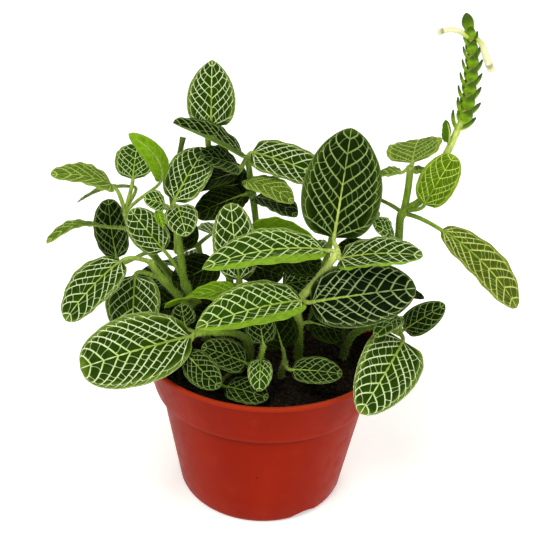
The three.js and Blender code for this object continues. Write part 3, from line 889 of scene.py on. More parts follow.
@dataclass
class VeinStyle:
    """The sizes of the vein net, in millimetres unless said otherwise."""

    cell: float = 2.5
    rib_foot: float = 0.5
    rib_tip: float = 0.16
    second_foot: float = 0.3
    second_end: float = 0.2
    third: float = 0.11
    rim: float = 0.12
    rim_bold: float = 0.4
    pairs: float = 2.4  # side veins on either side of a blade without length
    loop: float = 0.84  # where the side veins join, as a part of the half width
    jitter: float = 0.4
    faint: float = 0.52  # how much the small veins stand out


class VeinNet:
    """The net of one blade: a midrib, curved side veins that join in loops, and cross veins."""

    LEAN = 1.35  # how far a side vein runs towards the tip, as a part of the half width
    MOST_LEAN = 0.46  # and at most, as a part of the length
    STEP = 1.3  # how far apart the corners of a vein are, in millimetres
    SPACING = 9.5  # the length that each further pair of side veins takes
    LAST = 0.9  # where the last pair leaves the midrib
    SMALL = 12.0  # a blade narrower than this is small
    SLANT = 0.42  # how far a rung slants, as a part of the strip's width
    MOST_SLANT = 0.26
    BULGE = 0.05  # how far a loop bows towards the edge
    FOOT_RUNG = 0.34  # where the first rung of the lowest strip stands
    CLEAR = 0.05  # the least step between two rungs

    def __init__(self, form: BladeForm, style: VeinStyle, random: np.random.Generator) -> None:
        """Grows the net of a blade."""
        self.form = form
        self.style = style
        self.random = random
        self.cells: list[list[Walk]] = []
        self.rise = min(self.LEAN * form.leaf.wide / 2 / form.length, self.MOST_LEAN)
        self.midrib = Strand(lambda u: (u, 0.0), lambda u: lerp(style.rib_foot, style.rib_tip, u), rib=1.0)
        self.midrib.cut(0, 1, max(4, round(form.length / 1.6)))
        pairs = max(4, round(style.pairs + form.length / self.SPACING))
        steps = np.append((np.arange(pairs) / pairs) ** 1.08 * self.LAST, self.LAST)
        for side in (1, -1):
            wobble = random.uniform(-0.12, 0.12, len(steps)) / len(steps)
            wobble[[0, -1]] = 0
            self.grow_side(side, list(steps + wobble))

    def place(self, side: int, s: float, q: float) -> Place:
        """Where the side vein that starts at s stands at q, as (u, v)."""
        run = self.rise * (0.8 * q + 0.2 * q ** 3)
        return (s + (1 - s) * (1 + s) * run if s >= 0 else (1 + s) * run), side * q

    def flat(self, place: Place) -> Array:
        """A place on the blade in millimetres along and across."""
        u, v = place
        return np.array([u * self.form.length, v * float(self.form.half(np.array(u)))])

    def gap(self, first: Place, second: Place) -> float:
        """The distance between two places in millimetres."""
        return float(np.linalg.norm(self.flat(first) - self.flat(second)))

    def jog(self, size: float) -> float:
        """A random step of at most size."""
        return float(self.random.uniform(-size, size))

    def link(self, first: Place, second: Place, half: float) -> Strand:
        """A short, slightly crooked vein between two places.

        Args:
            first: its start.
            second: its end.
            half: half its width.

        Returns:
            The strand, whose stops run from 0 to 1.
        """
        start, end = np.array(first), np.array(second)
        scale = np.array([self.form.length, self.form.leaf.wide / 2])
        along, across = (end - start) * scale
        bend = np.array([-across, along]) / scale * self.jog(0.14)

        def place(t: float) -> Place:
            """The place at t."""
            point = start + (end - start) * t + bend * (4 * t * (1 - t))
            return float(point[0]), float(point[1])

        strand = Strand(place, lambda _: half, bold=self.style.faint)
        strand.cut(0, 1, max(2, round(self.gap(first, second) / 1.2)))
        return strand

    def side_vein(self, side: int, s: float) -> Strand:
        """The side vein that starts at s, with its stops at q."""
        style = self.style

        def half(q: float) -> float:
            """Half the vein's width at q: it turns into a small vein near the edge."""
            return lerp(style.second_foot, style.second_end, min(q / 0.8, 1)) if q < 0.9 else style.third

        strand = Strand(lambda q: self.place(side, s, q), half, rib=0.5)
        reach = self.gap(self.place(side, s, 0), self.place(side, s, 1))
        strand.cut(0, 1, max(3, round(reach / self.STEP)))
        return strand

    def grow_side(self, side: int, starts: list[float]) -> None:
        """Grows the half net on one side of the midrib.

        Args:
            side: 1 or -1.
            starts: where the side veins leave the midrib.
        """
        places = [-0.5 if self.form.leaf.wide < self.SMALL else -0.6, *starts]
        veins = [self.side_vein(side, s) for s in places]
        margin = Strand(lambda u: (u, float(side)), lambda _: self.style.rim, bold=self.style.rim_bold)
        margin.cut(0, 1, max(6, round(self.form.length * 1.15 / self.STEP)))
        for s in places:
            self.midrib.stop(max(s, 0))
            margin.stop(self.place(side, s, 1)[0])
        self.foot_strip(side, places[0], veins[0], margin)
        for strip in zip(zip(places, places[1:]), zip(veins, veins[1:])):
            self.fill(side, *strip, margin)
        last = self.place(side, places[-1], 1)[0]
        end = Strand(lambda t: (1.0, side * t), lambda _: self.style.rim)
        self.cells.append([(veins[-1], 0, 1), (margin, last, 1), (end, 1, 0), (self.midrib, 1, places[-1])])

    def add_cells(self, first: Strand, second: Strand, rungs: list[Rung]) -> None:
        """Adds the cells between two strands, from each rung to the next.

        Args:
            first: one strand.
            second: the other one.
            rungs: the rungs, each with its walk from the first strand to the second.
        """
        for before, after in zip(rungs, rungs[1:]):
            walks = [(first, before[0], after[0]), after[2], (second, after[1], before[1])]
            if before[2]:
                strand, start, end = before[2]
                walks.append((strand, end, start))
            self.cells.append([walk for walk in walks if walk])

    def foot_strip(self, side: int, s: float, vein: Strand, margin: Strand) -> None:
        """Fills the strip between the lowest side vein and the blade's edge.

        Args:
            side: 1 or -1.
            s: where the vein starts.
            vein: the lowest side vein.
            margin: the blade's edge.
        """
        foot = Strand(lambda t: (0.0, side * t), lambda _: self.style.rim)
        reach = self.gap(self.place(side, s, 0.4), self.place(side, s, 1))
        count = max(1, round(reach / (self.style.cell * 1.1)))
        rungs: list[Rung] = [(0.0, 0.0, (foot, 0, 1))]
        for k in range(1, count):
            q = lerp(0.45, 1, k / count) + self.jog(0.02)
            u = self.place(side, s, q)[0] * 0.97
            rung = self.link(self.place(side, s, q), (u, float(side)), self.style.third * 0.8)
            vein.stop(q)
            margin.stop(u)
            rungs.append((q, u, (rung, 0, 1)))
        self.add_cells(vein, margin, [*rungs, (1.0, self.place(side, s, 1)[0], None)])

    def fill(
        self, side: int, starts: tuple[float, float], veins: tuple[Strand, Strand], margin: Strand
    ) -> None:
        """Fills the strip between two side veins.

        Args:
            side: 1 or -1.
            starts: where the two veins start.
            veins: the lower and the upper vein.
            margin: the blade's edge.
        """
        style = self.style

        def at(t: float, q: float) -> Place:
            """The place at the share t from the lower vein to the upper one, and at q along them."""
            return self.place(side, lerp(*starts, t), q)

        wide = self.gap(at(0, 0.5), at(1, 0.5))
        half = float(self.form.half(np.array(at(0.5, 0.5)[0])))
        slant = min(self.MOST_SLANT, self.SLANT * wide / half)
        inner = (style.loop + self.jog(0.03), style.loop - 0.03 + self.jog(0.03))
        bulge = self.BULGE + self.jog(0.015)
        loop = Strand(lambda t: at(t, lerp(*inner, t) + bulge * math.sin(math.pi * t)),
                      lambda _: style.third * 1.1, bold=0.8)
        loop.cut(0, 1, max(2, round(self.gap(at(0, inner[0]), at(1, inner[1])) / 1.2)))
        loop.stop(0.5)
        for vein, stop in zip(veins, inner):
            vein.stop(stop)
        self.edge_cells(side, starts, veins, inner, loop, margin)

        count = max(1, round(self.gap(at(0.5, 0), at(0.5, style.loop)) / style.cell))
        first = slant / 2 + 0.1 if starts[1] > 0 else self.FOOT_RUNG
        last = min(inner) - slant / 2 - 0.06
        marks = []
        if count > 1 and last - first >= 0.08:
            marks = [lerp(first, last, (k + self.jog(style.jitter)) / max(count - 2, 1))
                     for k in range(count - 1)]
            marks = [min(max(m, first), last) for m in sorted(marks)]
            marks = [m for k, m in enumerate(marks) if k == 0 or m - marks[k - 1] > 0.03]
        foot = (self.midrib, max(starts[0], 0), starts[1]) if starts[1] > 0 else None
        rungs: list[Rung] = [(0.0, 0.0, foot)]
        for mark in marks:
            shift = slant / 2 * (1 + self.jog(0.4))
            low, high = round(min(mark + shift, inner[0] - self.CLEAR), 6), round(mark - shift, 6)
            if low < rungs[-1][0] + self.CLEAR or high < rungs[-1][1] + self.CLEAR:
                continue
            rung = self.link(at(0, low), at(1, high), style.third)
            for vein, stop in zip(veins, (low, high)):
                vein.stop(stop)
            rungs.append((low, high, (rung, 0, 1)))
        self.add_cells(*veins, [*rungs, (*inner, (loop, 0, 1))])

    def edge_cells(
        self,
        side: int,
        starts: tuple[float, float],
        veins: tuple[Strand, Strand],
        inner: tuple[float, float],
        loop: Strand,
        margin: Strand,
    ) -> None:
        """Fills the band between a loop and the blade's edge with small cells.

        Args:
            side: 1 or -1.
            starts: where the two side veins start.
            veins: the lower and the upper vein.
            inner: where the loop stands on either vein.
            loop: the loop.
            margin: the blade's edge.
        """
        ends = [self.place(side, s, 1)[0] for s in starts]
        wide = self.gap(loop.place(0), loop.place(1))
        count = max(1, round(wide / (self.style.cell * 0.95)))
        rungs: list[Rung] = [(ends[0], 0.0, (veins[0], 1, inner[0]))]
        for k in range(1, count):
            t = (k + self.jog(0.2)) / count
            u = lerp(*ends, t)
            rung = self.link(loop.place(round(t, 6)), (u, float(side)), self.style.third * 0.75)
            loop.stop(t)
            margin.stop(u)
            rungs.append((u, t, (rung, 1, 0)))
        self.add_cells(margin, loop, [*rungs, (ends[1], 1.0, (veins[1], 1, inner[1]))])


class BladeMesh:
    """The closed skin of one blade: raised panels in a net of veins above, smooth below.

    The attribute net is -1 on a vein's middle line, 0 at its edge and more on a panel.
    """

    THICK = 0.5
    SINK = 0.12  # how deep a vein lies
    PUFF = 0.3  # how far a panel of 2.6 mm square rises
    PANEL = 2.6
    INSET = 1.15  # a panel's distance from its vein, as a part of half the vein's width
    MOST_INSET = 0.6
    SLOPES = ((0.0, 0.0, 0.0), (0.5, 0.75, 1.5))  # the part inwards, the part of the rise, and net
    MIDDLE = 2.5  # net in the middle of a panel
    RIM = 0.72  # where the edge of a blade begins to pale
    RIM_TINT = 0.35
    BAND: Colour = srgb(122, 162, 30)
    BAND_STEP = 0.12
    BAND_COVER = 0.85  # how much of the veins it hides
    PLAIN = 0.6  # how much a corner off the net stands out
    DULL = 0.25  # how pale the veins are below

    def __init__(self, leaf: Leaf, seed: int) -> None:
        """Builds the points, faces and colours of a blade."""
        self.form = BladeForm(leaf)
        self.leaf = leaf
        size = min(max(self.form.length / 40, 0.55), 1.15)
        style = VeinStyle(cell=lerp(1.7, 3.1, size - 0.15) * leaf.look.value.cell, rib_foot=0.6 * size,
                          second_foot=0.28 * size, second_end=0.2 * size, third=0.06 + 0.05 * size)
        self.net = VeinNet(self.form, style, np.random.default_rng(seed))
        self.rows: list[tuple[float, ...]] = []  # u, v, lift, net, rib and 1 for the underside
        self.index: dict[tuple[int, int], int] = {}
        self.halves: dict[int, float] = {}
        self.bold: dict[int, float] = {}
        self.faces: Faces = []
        self.twins: dict[int, int] = {}
        panels = [self.add_cell(walks) for walks in self.net.cells]
        for panel in panels:
            if panel:
                self.add_panel(*panel)

    def corner(self, u: float, v: float, half: float, rib: float, bold: float) -> int:
        """The shared corner of the net at (u, v), as wide and bold as the boldest vein there."""
        key = (round(u * 20000), round(v * 20000))
        near = ((key[0] + du, key[1] + dv) for du in (0, 1, -1) for dv in (0, 1, -1))
        number = next((self.index[k] for k in near if k in self.index), None)
        if number is None:
            number = self.index[key] = len(self.rows)
            self.rows.append((u, v, -self.SINK, -1.0, rib, 0.0))
        row = self.rows[number]
        self.halves[number] = max(self.halves.get(number, half), half)
        self.bold[number] = max(self.bold.get(number, bold), bold)
        self.rows[number] = (*row[:4], max(row[4], rib), row[5])
        return number

    def extra(self, x: float, y: float, lift: float, net: float, rib: float, under: float) -> int:
        """A corner inside a cell, given in millimetres along and across the blade."""
        u = x / self.form.length
        v = float(np.clip(y / float(self.form.half(np.array(u))), -0.97, 0.97))
        self.rows.append((u, v, lift, net, rib, under))
        return len(self.rows) - 1

    def twin(self, number: int) -> int:
        """The corner of the underside below a corner of the net."""
        if number not in self.twins:
            u, v, _, net, rib, _ = self.rows[number]
            if abs(abs(v) - 1) < 1e-6 or u < 1e-6 or u > 1 - 1e-6:
                self.twins[number] = number
            else:
                ridge = self.halves[number] * 0.5
                self.rows.append((u, v, -self.THICK - ridge, net, rib, 1.0))
                self.twins[number] = len(self.rows) - 1
        return self.twins[number]

    def add_cell(self, walks: list[Walk]) -> tuple[list[int], Array, Array, float] | None:
        """Adds the face below a cell.

        Args:
            walks: the veins round the cell, in order.

        Returns:
            The cell's corners, the same in millimetres, its middle and its rise, for add_panel.
        """
        ring: list[int] = []
        for strand, start, end in walks:
            for stop in strand.walk(start, end):
                u, v = strand.place(stop)
                fade = u if strand is self.net.midrib else min(abs(v) * 2.2, 1)
                number = self.corner(u, v, strand.half(stop), strand.rib * (1 - fade), strand.bold)
                if not ring or ring[-1] != number:
                    ring.append(number)
        while len(ring) > 1 and ring[0] == ring[-1]:
            ring.pop()
        if len(ring) < 3:
            return None
        flat = np.array([self.net.flat(self.rows[n][:2]) for n in ring])
        turned = np.roll(flat, -1, axis=0)
        cross = flat[:, 0] * turned[:, 1] - turned[:, 0] * flat[:, 1]
        area = cross.sum() / 2
        if abs(area) < 1e-4:
            return None
        centre = ((flat + turned) * cross[:, None]).sum(axis=0) / (6 * area)
        if area > 0:
            ring.reverse()
            flat = flat[::-1]
        rise = self.PUFF * min(math.sqrt(abs(area)) / self.PANEL, 1.2)
        under = self.extra(*centre, rise * 0.6 - self.THICK, self.MIDDLE, 0.0, 1.0)
        for number, after in zip(ring, ring[1:] + ring[:1]):
            self.faces.append((self.twin(after), self.twin(number), under))
        return ring, flat, centre, rise

    def add_panel(self, ring: list[int], flat: Array, centre: Array, rise: float) -> None:
        """Adds the upper side of a cell: the vein's slope, then the raised panel.

        Args:
            ring: the cell's corners.
            flat: the corners in millimetres.
            centre: the cell's middle.
            rise: how far the panel rises.
        """
        middle = self.extra(*centre, rise, self.MIDDLE, 0.0, 0.0)
        levels = [ring]
        reach = np.linalg.norm(flat - centre, axis=1)
        inset = [min(self.halves[n] * self.INSET / max(r, 1e-3), self.MOST_INSET)
                 for n, r in zip(ring, reach)]
        for share, lift, net in self.SLOPES:
            level = []
            for k, number in enumerate(ring):
                x, y = flat[k] + (centre - flat[k]) * lerp(inset[k], 1, share)
                level.append(self.extra(x, y, rise * lift, net, self.rows[number][4], 0.0))
                self.bold[level[-1]] = self.bold[number]
            levels.append(level)
        for k in range(len(ring)):
            after = (k + 1) % len(ring)
            for outer, inner in zip(levels, levels[1:]):
                self.faces.append((outer[k], outer[after], inner[after], inner[k]))
            self.faces.append((levels[-1][k], levels[-1][after], middle))

    def arrays(self) -> tuple[Array, Array, Array, Array]:
        """The skin's points, net values, panel colours and vein colours."""
        u, v, lift, net, rib, under = np.array(self.rows).T
        slim = np.sqrt(np.clip(1 - v ** 6, 0, 1)) * np.minimum(np.minimum(u, 1 - u) * 14, 1)
        points = self.form.surface(u, v, (lift + self.THICK / 2) * slim)
        tone = self.leaf.look.value
        panel = blended(tone.panel, tone.under, under)
        near = np.maximum(np.abs(v), 1 - (1 - u) * 3)
        rim = np.clip((near - self.RIM) / (1 - self.RIM), 0, 1) * (1 - under) * self.RIM_TINT
        panel = blended(panel, tone.rib, rim)
        band = np.zeros(len(u))
        if self.leaf.band:
            past = v * math.copysign(1, self.leaf.band) - abs(self.leaf.band)
            band = np.clip(past / self.BAND_STEP, 0, 1) * (1 - under)
            panel = blended(panel, self.BAND, band)
        bold = np.array([min(self.bold.get(n, self.PLAIN) * tone.bold, 1) for n in range(len(u))])
        thread = blended(panel, blended(tone.vein, tone.rib, rib * 1.3), bold)
        thread = blended(thread, blended(tone.under, tone.vein, np.full(len(u), self.DULL)), under)
        return points, net, panel, blended(thread, self.BAND, band * self.BAND_COVER)


# ---- the stalks ----


@dataclass(frozen=True)
class Stem:
    """One leafy stalk: its path from the soil to its last node, and its leaves and shoots."""

    name: str
    path: list[Point]
    radius: tuple[float, float]
    nodes: list[int]
    leaves: list[Leaf]
    shoots: list["Stem"] = field(default_factory=list)
    pale: tuple[float, float] = (0.0, 0.58)  # skin colour at the foot and at the top


@dataclass
class StalkLines:
    """The middle lines of a stem's stalks, leaf stalks and midribs, for the tube tree."""

    STEPS = 7
    SWELL = 0.25  # how much thicker a stalk is at a node
    NODE = 0.13  # how long a node is, in spans of the path
    PALER = 0.12
    PETIOLE = 1.0
    LEAVE = 0.35  # how far a leaf stalk runs straight at either end, as a part of its reach
    RISE = 0.1
    END = 0.64  # the paleness that it runs towards
    RIB_END = 0.9
    olive: Colour = srgb(40, 54, 6)
    fresh: Colour = srgb(108, 140, 32)
    pale: Colour = srgb(196, 214, 110)
    points: list[Array] = field(default_factory=list)
    thick: list[Array] = field(default_factory=list)
    skin: list[Array] = field(default_factory=list)
    growth: list[Array] = field(default_factory=list)

    def add(self, points: Array, thick: Array, paleness: Array, growth: Array) -> None:
        """Adds a line.

        Args:
            points: its points in millimetres.
            thick: the tube's radius at each point, in millimetres.
            paleness: 0 for olive, 0.5 for fresh green and 1 for pale skin.
            growth: how thickly the hairs grow.
        """
        self.points.append(points)
        self.thick.append(thick * MM)
        low = blended(self.olive, self.fresh, paleness * 2)
        high = blended(self.fresh, self.pale, paleness * 2 - 1)
        self.skin.append(np.where(paleness[:, None] < 0.5, low, high))
        self.growth.append(growth)

    def add_stem(self, stem: Stem) -> None:
        """Adds a stem's stalk, then the leaf stalk and midrib of each leaf, then its shoots."""
        corners = [vec(p) for p in stem.path]
        line = smooth_line(corners, self.STEPS)
        span = np.linspace(0, len(corners) - 1, len(line))
        part = span / (len(corners) - 1)
        swell = sum(np.exp(-((span - node) / self.NODE) ** 2) for node in stem.nodes)
        paleness = np.clip(lerp(*stem.pale, part) + self.PALER * swell, 0, 1)
        thick = lerp(*stem.radius, part) * (1 + self.SWELL * np.minimum(swell, 1))
        self.add(line, thick, paleness, np.ones(len(line)))
        for item in stem.leaves:
            self.add_petiole(corners[item.at], item, lerp(*stem.pale, item.at / (len(corners) - 1)))
        for shoot in stem.shoots:
            self.add_stem(shoot)

    def add_petiole(self, node: Array, leaf: Leaf, paleness: float) -> None:
        """Adds a leaf's stalk, which runs on as the midrib of its blade.

        Args:
            node: the point on the stem that it leaves.
            leaf: the leaf.
            paleness: the skin colour at the node.
        """
        form = BladeForm(leaf)
        reach = float(np.linalg.norm(form.base - node))
        leave = node + (form.base - node) * self.LEAVE + np.array([0, 0, self.RISE * reach])
        arrive = form.base - form.frame_at(np.array([0.0]))[1][0] * self.LEAVE * reach
        stalk = bezier_line([node, leave, arrive, form.base], max(4, round(reach / 1.2)))
        u = np.linspace(0, self.RIB_END, 14)
        centre, _, up, _ = form.frame_at(u)
        girth = self.PETIOLE * min(1.0, 0.55 + leaf.wide / 50)
        rib = girth * (0.82 * (1 - u / self.RIB_END) ** 0.8 + 0.1)
        line = np.vstack([stalk, centre - up * (0.12 + 0.3 * u)[:, None]])
        thick = np.concatenate([girth * np.linspace(1.1, 0.92, len(stalk)), rib])
        end = lerp(paleness, self.END, 0.6)
        tone = np.concatenate([np.linspace(paleness, end, len(stalk)), end + 0.1 * u])
        self.add(line, thick, tone, np.concatenate([np.ones(len(stalk)), 0.5 * (1 - u)]))

    def build(self, name: str) -> Object:
        """Makes one object of all the lines."""
        edges, start = [], 0
        for line in self.points:
            edges.extend((start + k, start + k + 1) for k in range(len(line) - 1))
            start += len(line)
        values = {"thick": np.concatenate(self.thick), "growth": np.concatenate(self.growth)}
        return mesh_piece(name, np.vstack(self.points), [], values, {"skin": np.vstack(self.skin)}, edges)


@dataclass
class Foliage:
    """All the leafy stems, each as blades, stalks and hairs."""

    stems: list[Stem]
    tubes: Tree
    scatter: Tree
    hair: Object
    sides: int = 10
    hair_density: float = 0.9  # hairs a square millimetre
    hair_size: tuple[float, float] = (0.5, 1.3)

    def build(self) -> None:
        """Builds every stem's pieces."""
        blade, stalk, fuzz = BladeFinish().build(), StalkFinish().build(), HairFinish().build()
        for number, stem in enumerate(self.stems):
            self.blades(stem, number, blade)
            self.hairs(stem, self.stalks(stem, stalk), number, fuzz)

    def blades(self, stem: Stem, number: int, finish: Material) -> Object:
        """Builds the blades of a stem and of its shoots as one piece."""
        leaves = list(stem.leaves) + [item for shoot in stem.shoots for item in shoot.leaves]
        parts, faces, start = [], [], 0
        for k, item in enumerate(leaves):
            skin = BladeMesh(item, 100 * number + k)
            parts.append(skin.arrays())
            faces.extend(tuple(start + n for n in face) for face in skin.faces)
            start += len(skin.rows)
        points, net, panel, thread = (np.concatenate(part) for part in zip(*parts))
        piece = mesh_piece(f"{stem.name}_blades", points, faces, {"net": net},
                           {"panel": panel, "thread": thread})
        piece.data.materials.append(finish)
        return settle(piece, [stem.name])

    def stalks(self, stem: Stem, finish: Material) -> Object:
        """Builds the stalks, leaf stalks and midribs of a stem as tubes."""
        lines = StalkLines()
        lines.add_stem(stem)
        piece = self.tubes.run(lines.build(f"{stem.name}_lines"), f"{stem.name}_stalks",
                               Sides=self.sides, Material=finish)
        return settle(piece, [stem.name])

    def hairs(self, stem: Stem, stalks: Object, number: int, finish: Material) -> Object:
        """Strews hairs over the stalks of a stem."""
        ground = placed(f"{stem.name}_ground", stalks.data.copy())
        piece = self.scatter.run(
            ground, f"{stem.name}_hairs", Piece=self.hair, Density=self.hair_density / MM ** 2,
            Smallest=self.hair_size[0], Largest=self.hair_size[1], Tilt=0.5, Seed=number, Material=finish)
        return settle(piece, [stem.name])


# ---- the flower spike ----


@dataclass
class Spike:
    """The flower spike: crosswise pairs of bracts that close over the bud at the top."""

    path: list[Point]
    rows: Tree
    pairs: int = 15
    length: float = 9.0
    width: float = 6.0
    lean: float = 36.0
    last: float = 0.88
    crowding: float = 0.95
    shrink: float = 0.32
    root: float = 0.5
    thick: float = 0.7
    widest: float = 0.42  # where a bract is widest, as a part of its length
    bud: tuple[float, float] = (2.5, 7.6)  # its radius and length
    bud_reach: float = 3.3  # how far the bud reaches past the path's end

    def bract(self) -> Object:
        """One bract, 1 mm long for each unit, standing on +Z with its inner face to +X."""
        sheet = Sheet(12, 7, self.thick / 2)
        u, v, slim = sheet.grid()
        place = u ** (math.log(0.5) / math.log(self.widest))
        around = 2 * np.sqrt(np.maximum(place * (1 - place), 0))
        half = self.width / 2 * np.maximum(around ** (0.75 + 0.75 * u), 0.06)
        hollow = 0.34 * half * v ** 2 - 0.9 * np.sin(np.pi * u) + 0.6 * u ** 3
        sides = [np.stack([hollow + sign * slim, half * v, self.length * u], axis=1) for sign in (1, -1)]
        return mesh_piece("bract_pattern", np.vstack(sides), sheet.faces(), {"along": np.tile(u, 2)})

    def build_bud(self, finish: Material, nodes: list[str]) -> Object:
        """Builds the closed bud at the top, with the seams of its folded bracts.

        Args:
            finish: the bracts' material.
            nodes: the frame's nodes that the bud stands for.

        Returns:
            The bud.
        """
        radius, length = self.bud
        axis = unit(vec(self.path[-1]) - vec(self.path[-2]))
        side = unit(np.cross(axis, [0, 1, 0]))
        foot = vec(self.path[-1]) + axis * (self.bud_reach - length)
        rings, count = 14, 24
        angles = 2 * np.pi * np.arange(count) / count
        points, along = [foot], [0.5]
        for k in range(1, rings):
            t = (1 - math.cos(math.pi * k / rings)) / 2
            seam = 1 - 0.14 * np.abs(np.cos(2 * angles + 2.2 * t)) ** 6
            wide = radius * math.sin(math.pi * t ** 0.85) ** 0.6 * seam
            ring = circle(count) * wide[:, None]
            points.extend(ring_at(ring, foot + axis * length * t, side, np.cross(axis, side)))
            along.extend([0.5 + 0.5 * t] * count)
        points.append(foot + axis * length)
        along.append(1.0)
        faces = fan_faces(count, 1, 0, down=True) + tube_faces(count, rings - 1, 1)
        faces += fan_faces(count, 1 + (rings - 2) * count, len(points) - 1)
        piece = mesh_piece("spike_bud", np.array(points), faces, {"along": np.array(along)})
        piece.data.materials.append(finish)
        return settle(piece, nodes)

    def build(self, finish: Material, nodes: list[str]) -> Object:
        """Sets the bracts along the spike.

        Args:
            finish: the bracts' material.
            nodes: the frame's nodes that the bracts stand for.

        Returns:
            The bracts as one piece.
        """
        line = smooth_line([vec(p) for p in self.path], 24)
        steps = np.linalg.norm(np.diff(line, axis=0), axis=1)
        run = np.concatenate([[0], np.cumsum(steps)]) / steps.sum()
        slopes = unit(np.gradient(line, axis=0))
        spots, turns, sizes = [], [], []
        for pair in range(self.pairs):
            t = self.last * (pair / (self.pairs - 1)) ** self.crowding
            size = 1 - self.shrink * t
            lean = math.radians(self.lean * (1 - t ** 4))
            centre = np.array([np.interp(t, run, line[:, k]) for k in range(3)])
            axis = unit(np.array([np.interp(t, run, slopes[:, k]) for k in range(3)]))
            for half_turn in (0, math.pi):
                bearing = half_turn + (pair % 2) * math.pi / 2
                out = np.array([math.cos(bearing), math.sin(bearing), 0])
                out = unit(out - axis * out.dot(axis))
                rise = unit(axis * math.cos(lean) + out * math.sin(lean))
                inward = unit(-out + rise * out.dot(rise))
                across = np.cross(rise, inward)
                turn = Matrix((inward, across, rise)).transposed().to_euler()
                spots.append(centre + out * self.root)
                turns.append(turn)
                sizes.append(size)
        row = mesh_piece("spike_row", np.array(spots), [], {"size": np.array(sizes)})
        layer = row.data.attributes.new("turn", "FLOAT_VECTOR", "POINT")
        layer.data.foreach_set("vector", np.array(turns, dtype=np.float32).ravel())
        pattern = self.bract()
        piece = self.rows.run(row, "spike_bracts", Piece=pattern, Material=finish)
        bpy.data.objects.remove(pattern)
        return settle(piece, nodes)


@dataclass
class Flower:
    """One open flower: a thin curved tube that widens into a lip of small petals."""

    name: str
    path: list[Point]
    lip: Point
    radius: tuple[float, float] = (0.75, 1.3)
    lobes: int = 3
    spread: float = 30.0
    lobe_length: float = 2.0
    lobe_width: float = 1.9
    sides: int = 14

    def build(self, finish: Material) -> Object:
        """Builds the flower as one closed mesh."""
        line = smooth_line([vec(p) for p in self.path], 6)
        slopes = unit(np.gradient(line, axis=0))
        points, along = [], []
        for part, centre, slope in zip(np.linspace(0, 1, len(line)), line, slopes):
            side = unit(np.cross(slope, [0.0, 1.0, 0.0]))
            wide = lerp(*self.radius, part) * (1 + 0.12 * math.sin(part * 5))
            points.extend(ring_at(circle(self.sides) * wide, centre, side, np.cross(slope, side)))
            along.extend([part] * self.sides)
        start = (len(line) - 1) * self.sides
        faces = tube_faces(self.sides, len(line))
        faces += [tuple(reversed(range(self.sides))), tuple(range(start, start + self.sides))]
        forward = Vector(unit(vec(self.lip)))
        sheet = Sheet(8, 5, 0.16)
        u, v, slim = sheet.grid()
        for lobe in range(self.lobes):
            turn = math.radians(self.spread * (lobe - (self.lobes - 1) / 2))
            reach = vec(Matrix.Rotation(turn, 3, "Y") @ forward)
            petal = Leaf(0, tuple(line[-1] - slopes[-1] * 0.4), tuple(line[-1] + reach * self.lobe_length),
                         self.lobe_width, (0, -1, 0.1), arch=-0.1, fold=10, ripple=0, broad=0.6, taper=0.8)
            faces += sheet.faces(len(points))
            for sign in (1, -1):
                points.extend(BladeForm(petal).surface(u, v, sign * slim))
                along.extend(0.99 - 0.1 * u)
        piece = mesh_piece(self.name + "_petals", np.array(points), faces, {"along": np.array(along)})
        piece.data.materials.append(finish)
        return settle(piece, [self.name])


# ---- the pot and its soil ----


